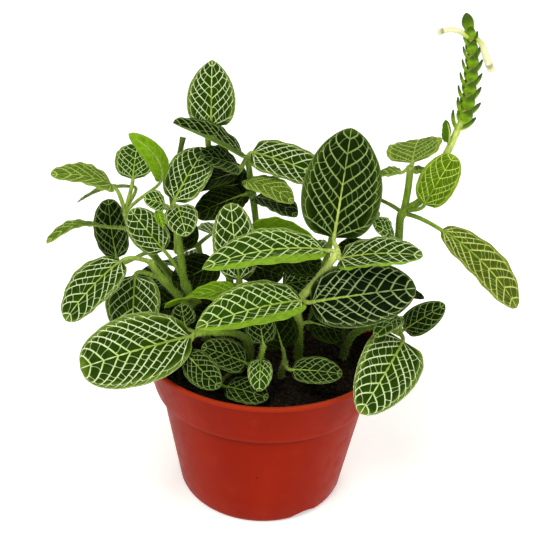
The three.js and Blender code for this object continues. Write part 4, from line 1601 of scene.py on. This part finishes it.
@dataclass
class Pot:
    """The thin moulded pot: tapered wall, straight band, rolled lip and drainage notches."""

    height: float = 80.0
    rim: float = 60.0
    lip: float = 2.2
    band: float = 23.0
    band_foot: float = 53.8
    wall_top: float = 51.0
    base: float = 41.0
    wall: float = 1.4
    floor: float = 2.0
    band_top: float = 59.2
    throat: float = 57.6  # the inner radius at the lip's foot
    notches: int = 3
    notch: tuple[float, float] = (14.4, 7.2)
    notch_depth: float = 16.0
    notch_turn: float = -58.0
    sides: int = 160

    @property
    def band_level(self) -> float:
        """The height of the band's lower edge."""
        return self.height - self.band

    def wall_radius(self, z: float) -> float:
        """The outer radius of the tapered wall at z."""
        return lerp(self.base, self.wall_top, z / self.band_level)

    def profile(self) -> list[tuple[float, float, float]]:
        """The section, once round from the axis.

        Returns:
            The radius and height of each point, and a mark from 1 for a worn, paler edge to -1 for painted
            shade: the shadow under the band's step, at the foot, on the band below the lip and on the inner
            wall.
        """
        foot, top = self.band_level, self.height
        lip = top - self.lip
        inner = self.band_foot - self.wall
        return [
            (0, 0.35, 0), (24, 0.35, 0), (30, 0.05, 0), (self.base - 3.4, 0, -0.5),
            (self.base - 2.0, 0.12, -0.5), (self.base - 0.8, 0.7, -0.4), (self.base - 0.1, 1.6, -0.25),
            *[(self.wall_radius(z), z, 0) for z in (3, 14, 28, 42, 53)],
            (self.wall_top - 0.25, foot - 1.4, -0.5), (self.wall_top + 0.1, foot - 0.35, -1),
            (self.wall_top + 0.7, foot, -1), (self.band_foot - 0.9, foot, -1),
            (self.band_foot - 0.25, foot + 0.2, -0.4),
            (self.band_foot, foot + 0.8, 0.1), (self.band_foot + 0.5, foot + 2.4, 0),
            (lerp(self.band_foot, self.band_top, 0.5), foot + 11, -0.08),
            (self.band_top - 0.2, lip - 0.9, -0.14), (self.band_top, lip - 0.2, -0.5),
            (self.rim - 0.2, lip + 0.15, 0.1), (self.rim, lip + 0.7, 0.3), (self.rim - 0.05, top - 0.7, 0.4),
            (self.rim - 0.35, top - 0.15, 0.7), (self.rim - 0.9, top, 0.7), (self.rim - 1.6, top - 0.1, 0.6),
            (self.rim - 2.0, top - 0.6, 0.2), (self.throat, lip, -1), (inner + 2.3, foot + 11, -1),
            (inner, foot + 2, -1), (self.wall_top - self.wall, foot + 0.2, -1),
            (self.wall_radius(20) - self.wall, 20, 0),
            (self.wall_radius(self.floor) - self.wall, self.floor, 0), (0, self.floor, 0),
        ]

    def build(self) -> Object:
        """Turns the section round the axis and cuts the notches."""
        bottom, *section, top = self.profile()
        ring = circle(self.sides)
        rows = [level_ring(ring, radius, z) for radius, z, _ in section]
        # a mark for each ring: above 0 a worn, paler edge, below 0 painted shade
        wear_and_shade = np.repeat([worn for _, _, worn in section], self.sides)
        last, tip = (len(section) - 1) * self.sides, len(section) * self.sides
        faces = tube_faces(self.sides, len(section)) + fan_faces(self.sides, 0, tip, down=True)
        faces += fan_faces(self.sides, last, tip + 1)
        points = np.vstack([*rows, [[0, 0, bottom[1]], [0, 0, top[1]]]])
        shell = mesh_piece("pot_lathe", points, faces, {"wear_and_shade": np.append(wear_and_shade, [0, 0])})
        cutter = self.cutters()
        cut = shell.modifiers.new("notches", "BOOLEAN")
        cut.operation, cut.object, cut.solver = "DIFFERENCE", cutter, "EXACT"
        piece = baked(shell, "pot_shell")
        bpy.data.objects.remove(cutter)
        piece.data.shade_smooth()
        piece.data.set_sharp_from_angle(angle=math.radians(38))
        piece.data.materials.clear()
        piece.data.materials.append(PotFinish().build())
        return settle(piece, ["pot"])

    def cutters(self) -> Object:
        """The bars of oval section that cut the drainage notches, as one object."""
        points, faces = [], []
        count = 28
        oval = circle(count) * np.array(self.notch) / 2
        for notch in range(self.notches):
            bearing = math.radians(self.notch_turn + notch * 360 / self.notches)
            out = np.array([math.cos(bearing), math.sin(bearing), 0])
            side = np.array([-math.sin(bearing), math.cos(bearing), 0])
            start = len(points)
            for reach in (self.base - self.notch_depth / 2, self.base + self.notch_depth / 2):
                points.extend(ring_at(oval, out * reach, side, np.array([0, 0, 1])))
            faces += tube_faces(count, 2, start)
            faces.append(tuple(range(start + count - 1, start - 1, -1)))
            faces.append(tuple(range(start + count, start + 2 * count)))
        return mesh_piece("notch_bars", np.array(points), faces)


@dataclass
class Soil:
    """The peat that fills the pot: an uneven mound strewn with crumbs."""

    pot: Pot
    scatter: Tree
    level: float = 70.0
    mound: float = 2.5
    gap: float = 0.3
    sides: int = 96
    rings: int = 30
    crumb_density: float = 0.22  # crumbs a square millimetre
    crumb_size: tuple[float, float] = (0.3, 1.5)
    seed: int = 7

    def edge(self, z: float) -> float:
        """The inner radius of the pot at z, less the gap."""
        inner = self.pot.band_foot - self.pot.wall
        if z <= self.pot.band_level + 0.2:
            return self.pot.wall_radius(min(z, self.pot.band_level)) - self.pot.wall - self.gap
        share = (z - self.pot.band_level - 2) / (self.pot.height - self.pot.lip - self.pot.band_level - 2)
        return lerp(inner, self.pot.throat, max(share, 0)) - self.gap

    def build(self) -> None:
        """Builds the mound, then strews the crumbs."""
        random = np.random.default_rng(self.seed)
        levels = [2.3, 30.0, self.pot.band_level + 0.2, self.pot.band_level + 2, self.level - 2.5]
        ring = circle(self.sides)
        rows = [level_ring(ring, self.edge(z), z) for z in levels]
        growth = [np.zeros(self.sides) for _ in levels]
        edge = self.edge(self.level)
        for k in range(self.rings):
            radius = (edge - 0.4) * (1 - k / self.rings)
            flat = ring * radius
            rise = self.mound * (1 - (radius / edge) ** 2)
            rows.append(np.column_stack([flat, self.level + rise + self.bumps(flat, random)]))
            growth.append(np.ones(self.sides))
        points = np.vstack([*rows, [[0, 0, self.level + self.mound]], [[0, 0, levels[0]]]])
        faces = tube_faces(self.sides, len(rows))
        tips = (fan_faces(self.sides, (len(rows) - 1) * self.sides, len(points) - 2),
                fan_faces(self.sides, 0, len(points) - 1, down=True))
        faces += [face for pair in zip(*tips) for face in pair]
        values = {"growth": np.concatenate([*growth, [1, 0]])}
        bed = mesh_piece("peat_bed", points, faces, values)
        finish = SoilFinish().build()
        bed.data.materials.append(finish)
        settle(bed, ["soil"])
        self.crumbs(bed, finish)

    def bumps(self, flat: Array, random: np.random.Generator) -> Array:
        """Uneven heights over the mound, in millimetres."""
        x, y = flat.T
        low = 0.5 * np.sin(x / 5.1 + 1) * np.cos(y / 6.3) + 0.35 * np.sin(x / 2.3 + y / 3.1)
        return low + random.uniform(-0.3, 0.3, len(x))

    def crumbs(self, bed: Object, finish: Material) -> Object:
        """Strews crumbs over the mound."""
        random = np.random.default_rng(self.seed + 1)
        bpy.ops.mesh.primitive_ico_sphere_add(subdivisions=1, radius=MM)
        crumb = bpy.context.active_object
        crumb.name = "crumb_pattern"
        for vertex in crumb.data.vertices:
            vertex.co *= 0.8 + 0.35 * random.random()
            vertex.co.z *= 0.7
        ground = placed("crumb_ground", bed.data.copy())
        small, large = self.crumb_size
        piece = self.scatter.run(
            ground, "peat_crumbs", Piece=crumb, Density=self.crumb_density / MM ** 2, Smallest=small,
            Largest=large, Tilt=1.5, Seed=self.seed, Material=finish)
        bpy.data.objects.remove(crumb)
        return settle(piece, ["soil"])


# ---- the studio ----


@dataclass
class Studio:
    """The pale floor, the soft lights and the camera at the photograph's angle."""

    distance: float = 400.0
    focal: float = 857.0  # in pixels of the 533 pixel frame
    frame: float = 533.0
    elevation: float = 25.7
    roll: float = 2.3
    target: Point = (-1.0, 0.0, 118.0)
    floor_flat: float = 2600.0  # the radius where the floor begins to rise
    floor_bend: float = 900.0
    floor_top: float = 1500.0
    room_light: float = 0.2
    lamp_tint: Colour = (1, 0.97, 0.87)

    def build(self) -> None:
        """Builds the floor, the world, the lights and the camera."""
        self.floor()
        self.world()
        self.light("key", (-600, -1100, 1900), 900, 30)
        self.light("fill", (1300, -700, 1100), 700, 8)
        self.light("back", (200, 1500, 1700), 900, 14)
        self.camera()

    def floor(self) -> None:
        """Builds the floor, which rises far off in a soft curve, so that it shows no horizon."""
        flat, bend, count = self.floor_flat, self.floor_bend, 48
        section = [(flat + bend, self.floor_top)]
        section += [(flat + bend * math.sin(a), bend - bend * math.cos(a))
                    for a in np.radians(range(90, 9, -10))]
        section += [(flat, 0.0), (1600.0, 0.0), (700.0, 0.0)]
        rows = [level_ring(circle(count), radius, z) for radius, z in section]
        points = np.vstack([*rows, [[0, 0, 0]]])
        faces = tube_faces(count, len(rows)) + fan_faces(count, len(points) - 1 - count, len(points) - 1)
        floor = mesh_piece("floor", points, faces)
        floor.data.materials.append(FloorFinish().build())

    def world(self) -> None:
        """Lights the room evenly from all round."""
        world = bpy.data.worlds.new("studio")
        world.use_nodes = True
        light = world.node_tree.nodes["Background"].inputs
        light["Color"].default_value = (1, 1, 1, 1)
        light["Strength"].default_value = self.room_light
        bpy.context.scene.world = world
        bpy.context.scene.view_settings.view_transform = "Standard"

    def light(self, name: str, place: Point, size: float, power: float) -> None:
        """Adds a soft square light that faces the plant.

        Args:
            name: the light's name.
            place: where it hangs, in millimetres.
            size: its edge.
            power: its power in watts.
        """
        data = bpy.data.lights.new(name, "AREA")
        data.size = size * MM
        data.energy = power
        data.color = self.lamp_tint
        lamp = placed(name, data)
        lamp.location = vec(place) * MM
        aim = Vector(self.target) * MM - lamp.location
        lamp.rotation_euler = aim.to_track_quat("-Z", "Y").to_euler()

    def camera(self) -> None:
        """Sets the camera as the photograph's was."""
        data = bpy.data.cameras.new("camera")
        data.sensor_width = 36.0
        data.lens = self.focal / self.frame * data.sensor_width
        data.clip_start, data.clip_end = 0.01, 20
        camera = placed("camera", data)
        angle, roll = math.radians(self.elevation), math.radians(self.roll)
        ahead = np.array([0, math.cos(angle), -math.sin(angle)])
        level, rise = np.array([1.0, 0, 0]), np.array([0, math.sin(angle), math.cos(angle)])
        right = level * math.cos(roll) + rise * math.sin(roll)
        up = rise * math.cos(roll) - level * math.sin(roll)
        turn = Matrix((right, up, -ahead)).transposed().to_4x4()
        place = (vec(self.target) - ahead * self.distance) * MM
        camera.matrix_world = Matrix.Translation(Vector(place)) @ turn
        bpy.context.scene.camera = camera


# ---- the plant ----

SPIKE_FROM = 10

STEMS = [
    Stem(
        "flowering_stem",
        [(36, 8, 58), (38, 8, 76), (45, 6, 100), (53.5, 4, 119), (59, 2, 133), (59.5, 1, 147),
         (67, 0, 154), (71, 0, 163), (74, 0, 172), (77, 0, 180), (79, 0, 187), (81, 0, 194),
         (81.5, 0, 206), (81, 0, 217), (79, 0, 227), (77, 0, 233)],
        (2.1, 1.2), [4, 5], [
            Leaf(5, (77, -5, 142), (112, -20, 112), 20, (0.45, -0.7, 0.6), Look.OLIVE, sway=-0.03, broad=0.5),
            Leaf(5, (68, -5, 154), (78.5, -4, 177), 17, (-0.35, -0.85, 0.35),
                 Look.YOUNG, arch=0.04, taper=0.9),
            Leaf(4, (56, -5, 136), (45, -11, 146), 14, (0, -0.5, 0.85), Look.FRESH, arch=0.1),
            Leaf(5, (48, 10, 151), (30, 27, 152), 17, UP, Look.INNER_SHADE),
            Leaf(3, (47, -4, 128), (30, -11, 132.5), 14, FRONT_UP, Look.INNER_SHADE),
            Leaf(3, (61, 1, 107), (73, -6, 107.5), 7, UP, Look.INNER_SHADE),
            Leaf(9, (75.5, -1.5, 182), (72.5, -3, 192), 7.5, (-0.6, 0.3, 0.5),
                 Look.BRACT, arch=-0.1, fold=20),
            Leaf(2, (52, 12, 101), (68, 40, 92), 22, (0.3, 0.2, 0.9), Look.SHADE),
        ],
        [
            Stem(
                "young_shoot", [(60, 1, 147), (61, 2, 158), (61, 2, 169)],
                (1.6, 1.5), [2], [
                    Leaf(2, (62, 4, 170), (68, 27, 174), 26, (-0.45, -0.4, 1), Look.HAIRY),
                    Leaf(2, (57, 2, 166), (45, 6, 162), 14, (0, 0, 1), Look.HAIRY, arch=0.04),
                    Leaf(2, (64, 3, 166), (72, 9, 165), 11, (0, 0, 1), Look.HAIRY, arch=0.04),
                ],
                pale=(0.35, 0.6),
            ),
        ],
        pale=(-0.3, 1.7),
    ),
    Stem(
        "stem_centre_right",
        [(16, -8, 58), (16, -9, 76), (15, -17, 96), (14, -26, 114), (22, -24, 125), (30, -20, 136)],
        (2.1, 1.6), [3, 5], [
            Leaf(3, (15, -29, 116), (-29, -55, 115), 24, (-0.1, -0.5, 0.85), Look.FRESH, fold=20, taper=1.6,
                 band=-0.52),
            Leaf(3, (19, -30, 116), (63, -35, 127.5), 28.5, (0.05, -0.8, 0.6), Look.DEEP_SHADE),
            Leaf(5, (24, -21, 137), (-28, -36, 133), 23, (0, -0.3, 0.95), Look.FRESH, arch=0.09, fold=12,
                 taper=1.5, band=-0.45),
            Leaf(5, (31, -24, 134.5), (64, -36, 143), 21, (0, -0.3, 0.95), broad=0.32, taper=1,
                 band=0.78),
            Leaf(5, (28, -16, 141), (33.5, 2, 185.5), 35, VIEWER,
                 Look.SHADE, arch=0.04, taper=1.3, broad=0.4),
            Leaf(2, (20, -14, 97), (37, -13, 91), 17, FRONT_UP, Look.INNER_SHADE),
        ],
        pale=(0.2, 1.0),
    ),
    Stem(
        "stem_centre", [(-6, -4, 58), (-7, -5, 76), (-10, -10, 98), (-13, -14, 115), (-12, -2, 124)],
        (1.9, 1.3), [2, 3], [
            Leaf(3, (-13, -15, 118), (-18, -5, 151), 20, (-0.05, -0.95, 0.3), taper=0.95),
            Leaf(4, (-14, 4, 130), (21, -2, 133), 18, (0, 0.7, 0.7), Look.LIME, arch=0.17),
            Leaf(3, (-14, -18, 114), (-46, -24, 107), 14, (0, 0.15, 1), Look.LIME, twist=95),
            Leaf(2, (-15, -13, 100), (-37, -20, 97), 16, FRONT_UP, Look.INNER_SHADE),
        ],
    ),
    Stem(
        "plantlet_front", [(-1, -30, 60), (-1, -31, 76), (-2, -34, 88), (-1, -37, 97)],
        (1.5, 1.2), [2, 3], [
            Leaf(3, (-1, -37, 98), (-4, -32, 113), 13, VIEWER, Look.SHADE),
            Leaf(2, (-2, -36, 90), (-2, -47, 80), 11, (0, -0.6, 0.8), Look.FRESH, arch=0.14),
            Leaf(2, (-8, -36, 87), (-28, -38, 96), 15, FRONT_UP, Look.SHADE),
        ],
    ),
    Stem(
        "plantlet_right", [(8, -22, 60), (8, -24, 76), (9, -29, 84)],
        (1.5, 1.2), [2], [
            Leaf(2, (12, -38, 86), (34, -43, 88), 13, FRONT_UP, Look.SHADE),
            Leaf(2, (8, -24, 88), (2, -20, 106), 19, VIEWER, Look.INNER_SHADE),
        ],
    ),
    Stem(
        "stem_low_left", [(-6, -16, 58), (-7, -18, 77), (-10, -25, 94), (-22, -33, 101), (-31, -35, 101)],
        (1.9, 1.5), [3, 4], [
            Leaf(4, (-33, -36, 100), (-79, -50, 90), 32, (-0.1, -0.75, 0.65), taper=0.95, broad=0.5),
            Leaf(4, (-34, -40, 93), (-19, -51, 84), 14, (-0.2, -0.8, 0.55), Look.SHADE, arch=0.1),
            Leaf(4, (-36, -29, 101), (-38, -27, 111), 11, VIEWER, Look.SHADE),
            Leaf(1, (-17, -40, 77), (2, -46, 76), 15, (0, -0.35, 0.95), Look.SHADE, arch=0.04),
        ],
    ),
    Stem(
        "stem_low_right", [(37, -5, 58), (38, -5, 76), (42, -7, 88), (52, -13, 96), (61, -20, 97)],
        (1.9, 1.5), [4], [
            Leaf(4, (62, -25, 95.5), (41, -60, 79.5), 28, (0.2, -0.6, 0.78), arch=0.08, broad=0.34),
            Leaf(4, (63, -19, 98), (79, -23, 114), 13, (0.3, -0.6, 0.7), Look.SHADE, broad=0.42),
            Leaf(4, (60, -23, 106.5), (47, -38, 104.5), 9, (-0.3, -0.6, 0.7), Look.FRESH, arch=0.08),
        ],
    ),
    Stem(
        "stem_left", [(-24, -8, 58), (-25, -9, 76), (-36, -9, 98), (-48, -10, 114), (-54, -10, 123)],
        (1.9, 1.4), [2, 3, 4], [
            Leaf(4, (-66, -15, 125), (-88, -34, 104), 22, (-0.3, -0.65, 0.7), arch=0.08),
            Leaf(3, (-61, -9, 115), (-60, -27, 92), 25, (0, -0.8, 0.55), arch=0.08),
            Leaf(2, (-40, -15, 98), (-56, -30, 86), 18, FRONT_UP, Look.INNER_SHADE),
        ],
        pale=(0.05, 0.62),
    ),
    Stem(
        "stem_upper_left",
        [(-30, 8, 58), (-31, 8, 76), (-42, 10, 98), (-56, 10, 118), (-65, 8, 130), (-67, 6, 140)],
        (1.9, 1.4), [2, 3, 4, 5], [
            Leaf(5, (-73, 6, 153), (-97, -7, 161.5), 19, (0, -0.3, 1),
                 Look.HAIRY, arch=0.08, broad=0.3, taper=1),
            Leaf(5, (-64, 11, 154.5), (-64, 28, 166), 18.5, (0, -0.55, 0.85), Look.FRESH, taper=0.85),
            Leaf(5, (-50.5, 6, 156), (-62, -8, 182), 10, (-0.45, 0.7, -0.15),
                 Look.LIME, arch=-0.18, sway=-0.08),
            Leaf(5, (-66, 19, 148), (-91, 12, 141), 14, (0, 0.35, 0.95), arch=0.1),
            Leaf(4, (-79, 12, 130), (-102, -4, 127), 16, (0, 0.22, 0.97), Look.HAIRY, arch=0.14),
            Leaf(3, (-75, 22, 109), (-80, 32, 136), 18, (-0.2, -0.9, 0.4), Look.SHADE, taper=0.9),
            Leaf(2, (-48, 18, 98), (-72, 30, 92), 22, UP, Look.SHADE, arch=0.1),
            Leaf(2, (-43, 5, 96), (-56, 3, 91), 18, FRONT_UP, Look.INNER_SHADE),
        ],
        pale=(0.05, 0.62),
    ),
    Stem(
        "stem_fan",
        [(-20, 0, 58), (-21, 0, 76), (-30, -4, 95), (-38, -7, 110), (-41, -3, 126), (-44, 1, 143)],
        (2.1, 1.6), [3, 5], [
            Leaf(3, (-48, -6, 127), (-64, 2, 143), 17, (-0.2, -0.85, 0.5), arch=0.04),
            Leaf(5, (-44, 2, 148), (-31, 20, 168), 21, (-0.2, -0.8, 0.55)),
            Leaf(5, (-42, -1, 147), (-37, -14, 138), 15, FRONT_UP, arch=0.12),
            Leaf(5, (-48, 0, 147), (-57, -4, 151), 11, FRONT_UP, Look.FRESH),
            Leaf(5, (-51, -4, 146), (-48, -7, 139), 5, FRONT_UP, Look.LIME, fold=20),
        ],
        [
            Stem("bud_shoot", [(-44, 1, 143), (-46, 10, 150), (-44, 19, 161), (-42, 22, 172)],
                 (1.4, 1.2), [3], [], pale=(0.4, 0.1)),
        ],
        pale=(0.05, 0.62),
    ),
    Stem(
        "stem_tall",
        [(-14, 14, 58), (-15, 14, 76), (-20, 16, 110), (-26, 20, 145), (-30, 23, 166), (-31, 21, 178)],
        (2.1, 1.3), [2, 3, 5], [
            Leaf(5, (-29, 22, 177.5), (-29.5, 32, 206), 22.5, VIEWER, taper=1.5, broad=0.36),
            Leaf(3, (-26, 29, 145), (-10, 37, 146), 22, VIEWER, Look.INNER_SHADE),
            Leaf(2, (-25, 13, 112), (-45, 3, 104), 20, FRONT_UP, Look.INNER_SHADE),
            Leaf(2, (-14, 14, 113), (7, 10, 108), 20, FRONT_UP, Look.INNER_SHADE),
        ],
    ),
    Stem(
        "stem_back_centre", [(2, 20, 58), (1, 20, 76), (-4, 22, 110), (-9, 23, 145), (-12, 24, 163)],
        (2.1, 1.4), [2, 3, 4], [
            Leaf(4, (-14, 18, 165.5), (-44, 0, 185), 21, (0.2, -0.15, 0.95), Look.SHADE, arch=0.02, fold=24,
                 broad=0.34),
            Leaf(4, (-10, 25, 165), (29, 16, 154), 21, (0.1, -0.6, 0.8), broad=0.36),
            Leaf(4, (-16, 18, 160), (-33, 8, 168), 16, (0, -0.5, 0.85), Look.SHADE),
            Leaf(4, (-17, 17, 157), (-37, 7, 151), 15, UP, Look.INNER_SHADE),
            Leaf(3, (-12, 15, 154), (10, 3, 149), 16, (0.1, -0.3, 0.95), Look.HAIRY, arch=0.1),
            Leaf(3, (-8, 17, 145.5), (12, 5, 141.5), 17, (0, -0.15, 1), Look.SHADE, arch=0.1),
            Leaf(3, (-13, 16, 147), (-35, 7, 139), 17, FRONT_UP, Look.INNER_SHADE),
            Leaf(2, (2, 26, 112), (26, 22, 108), 20, FRONT_UP, Look.INNER_SHADE),
            Leaf(2, (-7, 30, 112), (-8, 56, 106), 20, (0, 0.3, 0.95), Look.SHADE),
        ],
    ),
    Stem(
        "stem_back_right", [(22, 24, 58), (23, 24, 76), (28, 28, 105), (32, 30, 130)],
        (1.9, 1.4), [2, 3], [
            Leaf(3, (32, 28, 136), (34, 36, 166), 20, VIEWER, Look.SHADE),
            Leaf(3, (38, 36, 131), (50, 62, 118), 24, (0.3, 0.6, 0.75), arch=0.1),
            Leaf(2, (34, 27, 106), (64, 24, 104), 20, (0.2, 0, 1), arch=0.1),
            Leaf(2, (24, 36, 108), (12, 70, 98), 24, (0, 0.4, 0.9), Look.FRESH, arch=0.1),
            Leaf(1, (34, 30, 86), (60, 48, 86), 22, (0.1, 0.1, 1), arch=0.12),
        ],
    ),
    Stem(
        "stem_back_left", [(-24, 26, 58), (-25, 26, 76), (-32, 31, 96), (-36, 34, 112)],
        (1.9, 1.4), [2, 3], [
            Leaf(3, (-47, 29, 111), (-48, 33, 130), 25, VIEWER, Look.INNER_SHADE),
            Leaf(3, (-42, 37, 115), (-70, 48, 106), 24, (-0.3, 0, 1), arch=0.1),
            Leaf(3, (-30, 42, 115), (-18, 74, 102), 25, (0, 0.4, 0.9), Look.FRESH, arch=0.1),
            Leaf(2, (-38, 40, 97), (-58, 68, 84), 24, (-0.3, 0.3, 0.9), arch=0.1),
        ],
    ),
    Stem(
        "stem_back", [(2, 40, 58), (2, 41, 76), (0, 46, 90)],
        (1.7, 1.3), [2], [
            Leaf(2, (4, 50, 91), (26, 78, 83), 22, (0.3, 0.4, 0.85), arch=0.12),
            Leaf(2, (-5, 51, 91), (-24, 84, 82), 23, (-0.2, 0.4, 0.9), arch=0.12),
            Leaf(1, (8, 41, 88), (31, 47, 89), 20, FRONT_UP),
        ],
    ),
]

FLOWERS = [
    Flower("flower_left", [(77.5, -2.8, 226.8), (73, -4, 229.5), (69, -5, 230), (66, -6, 229.5)],
           (-1, -0.3, -0.3)),
    Flower("flower_right", [(81.3, -2.8, 226.7), (84, -3.5, 223.5), (85.5, -4, 220), (87.5, -5, 216)],
           (0.5, -0.3, -0.8), radius=(0.75, 1.8), lobe_length=2.6),
]


def hair_pattern() -> Object:
    """One hair, a thin cone 1 mm long."""
    thick, sink, bend = 0.05, 0.05, 0.12
    points = np.array([*level_ring(circle(3), thick, -sink), (bend, 0, 1)])
    return mesh_piece("hair_pattern", points, [*fan_faces(3, 0, 3), (2, 1, 0)])


def main() -> None:
    """Builds the pot, its soil, the plant and the studio."""
    logging.basicConfig(level=logging.INFO, format="%(name)s %(message)s")
    Studio().build()
    pot = Pot()
    pot.build()
    scatter = scatter_tree()
    Soil(pot, scatter).build()
    hair = hair_pattern()
    Foliage(STEMS, tube_tree(), scatter, hair).build()
    bpy.data.objects.remove(hair)
    spike, bract = Spike(STEMS[0].path[SPIKE_FROM:], row_tree()), BractFinish().build()
    spike.build(bract, [STEMS[0].name])
    spike.build_bud(bract, [STEMS[0].name])
    petal = PetalFinish().build()
    for flower in FLOWERS:
        flower.build(petal)


if __name__ == "__main__":
    main()
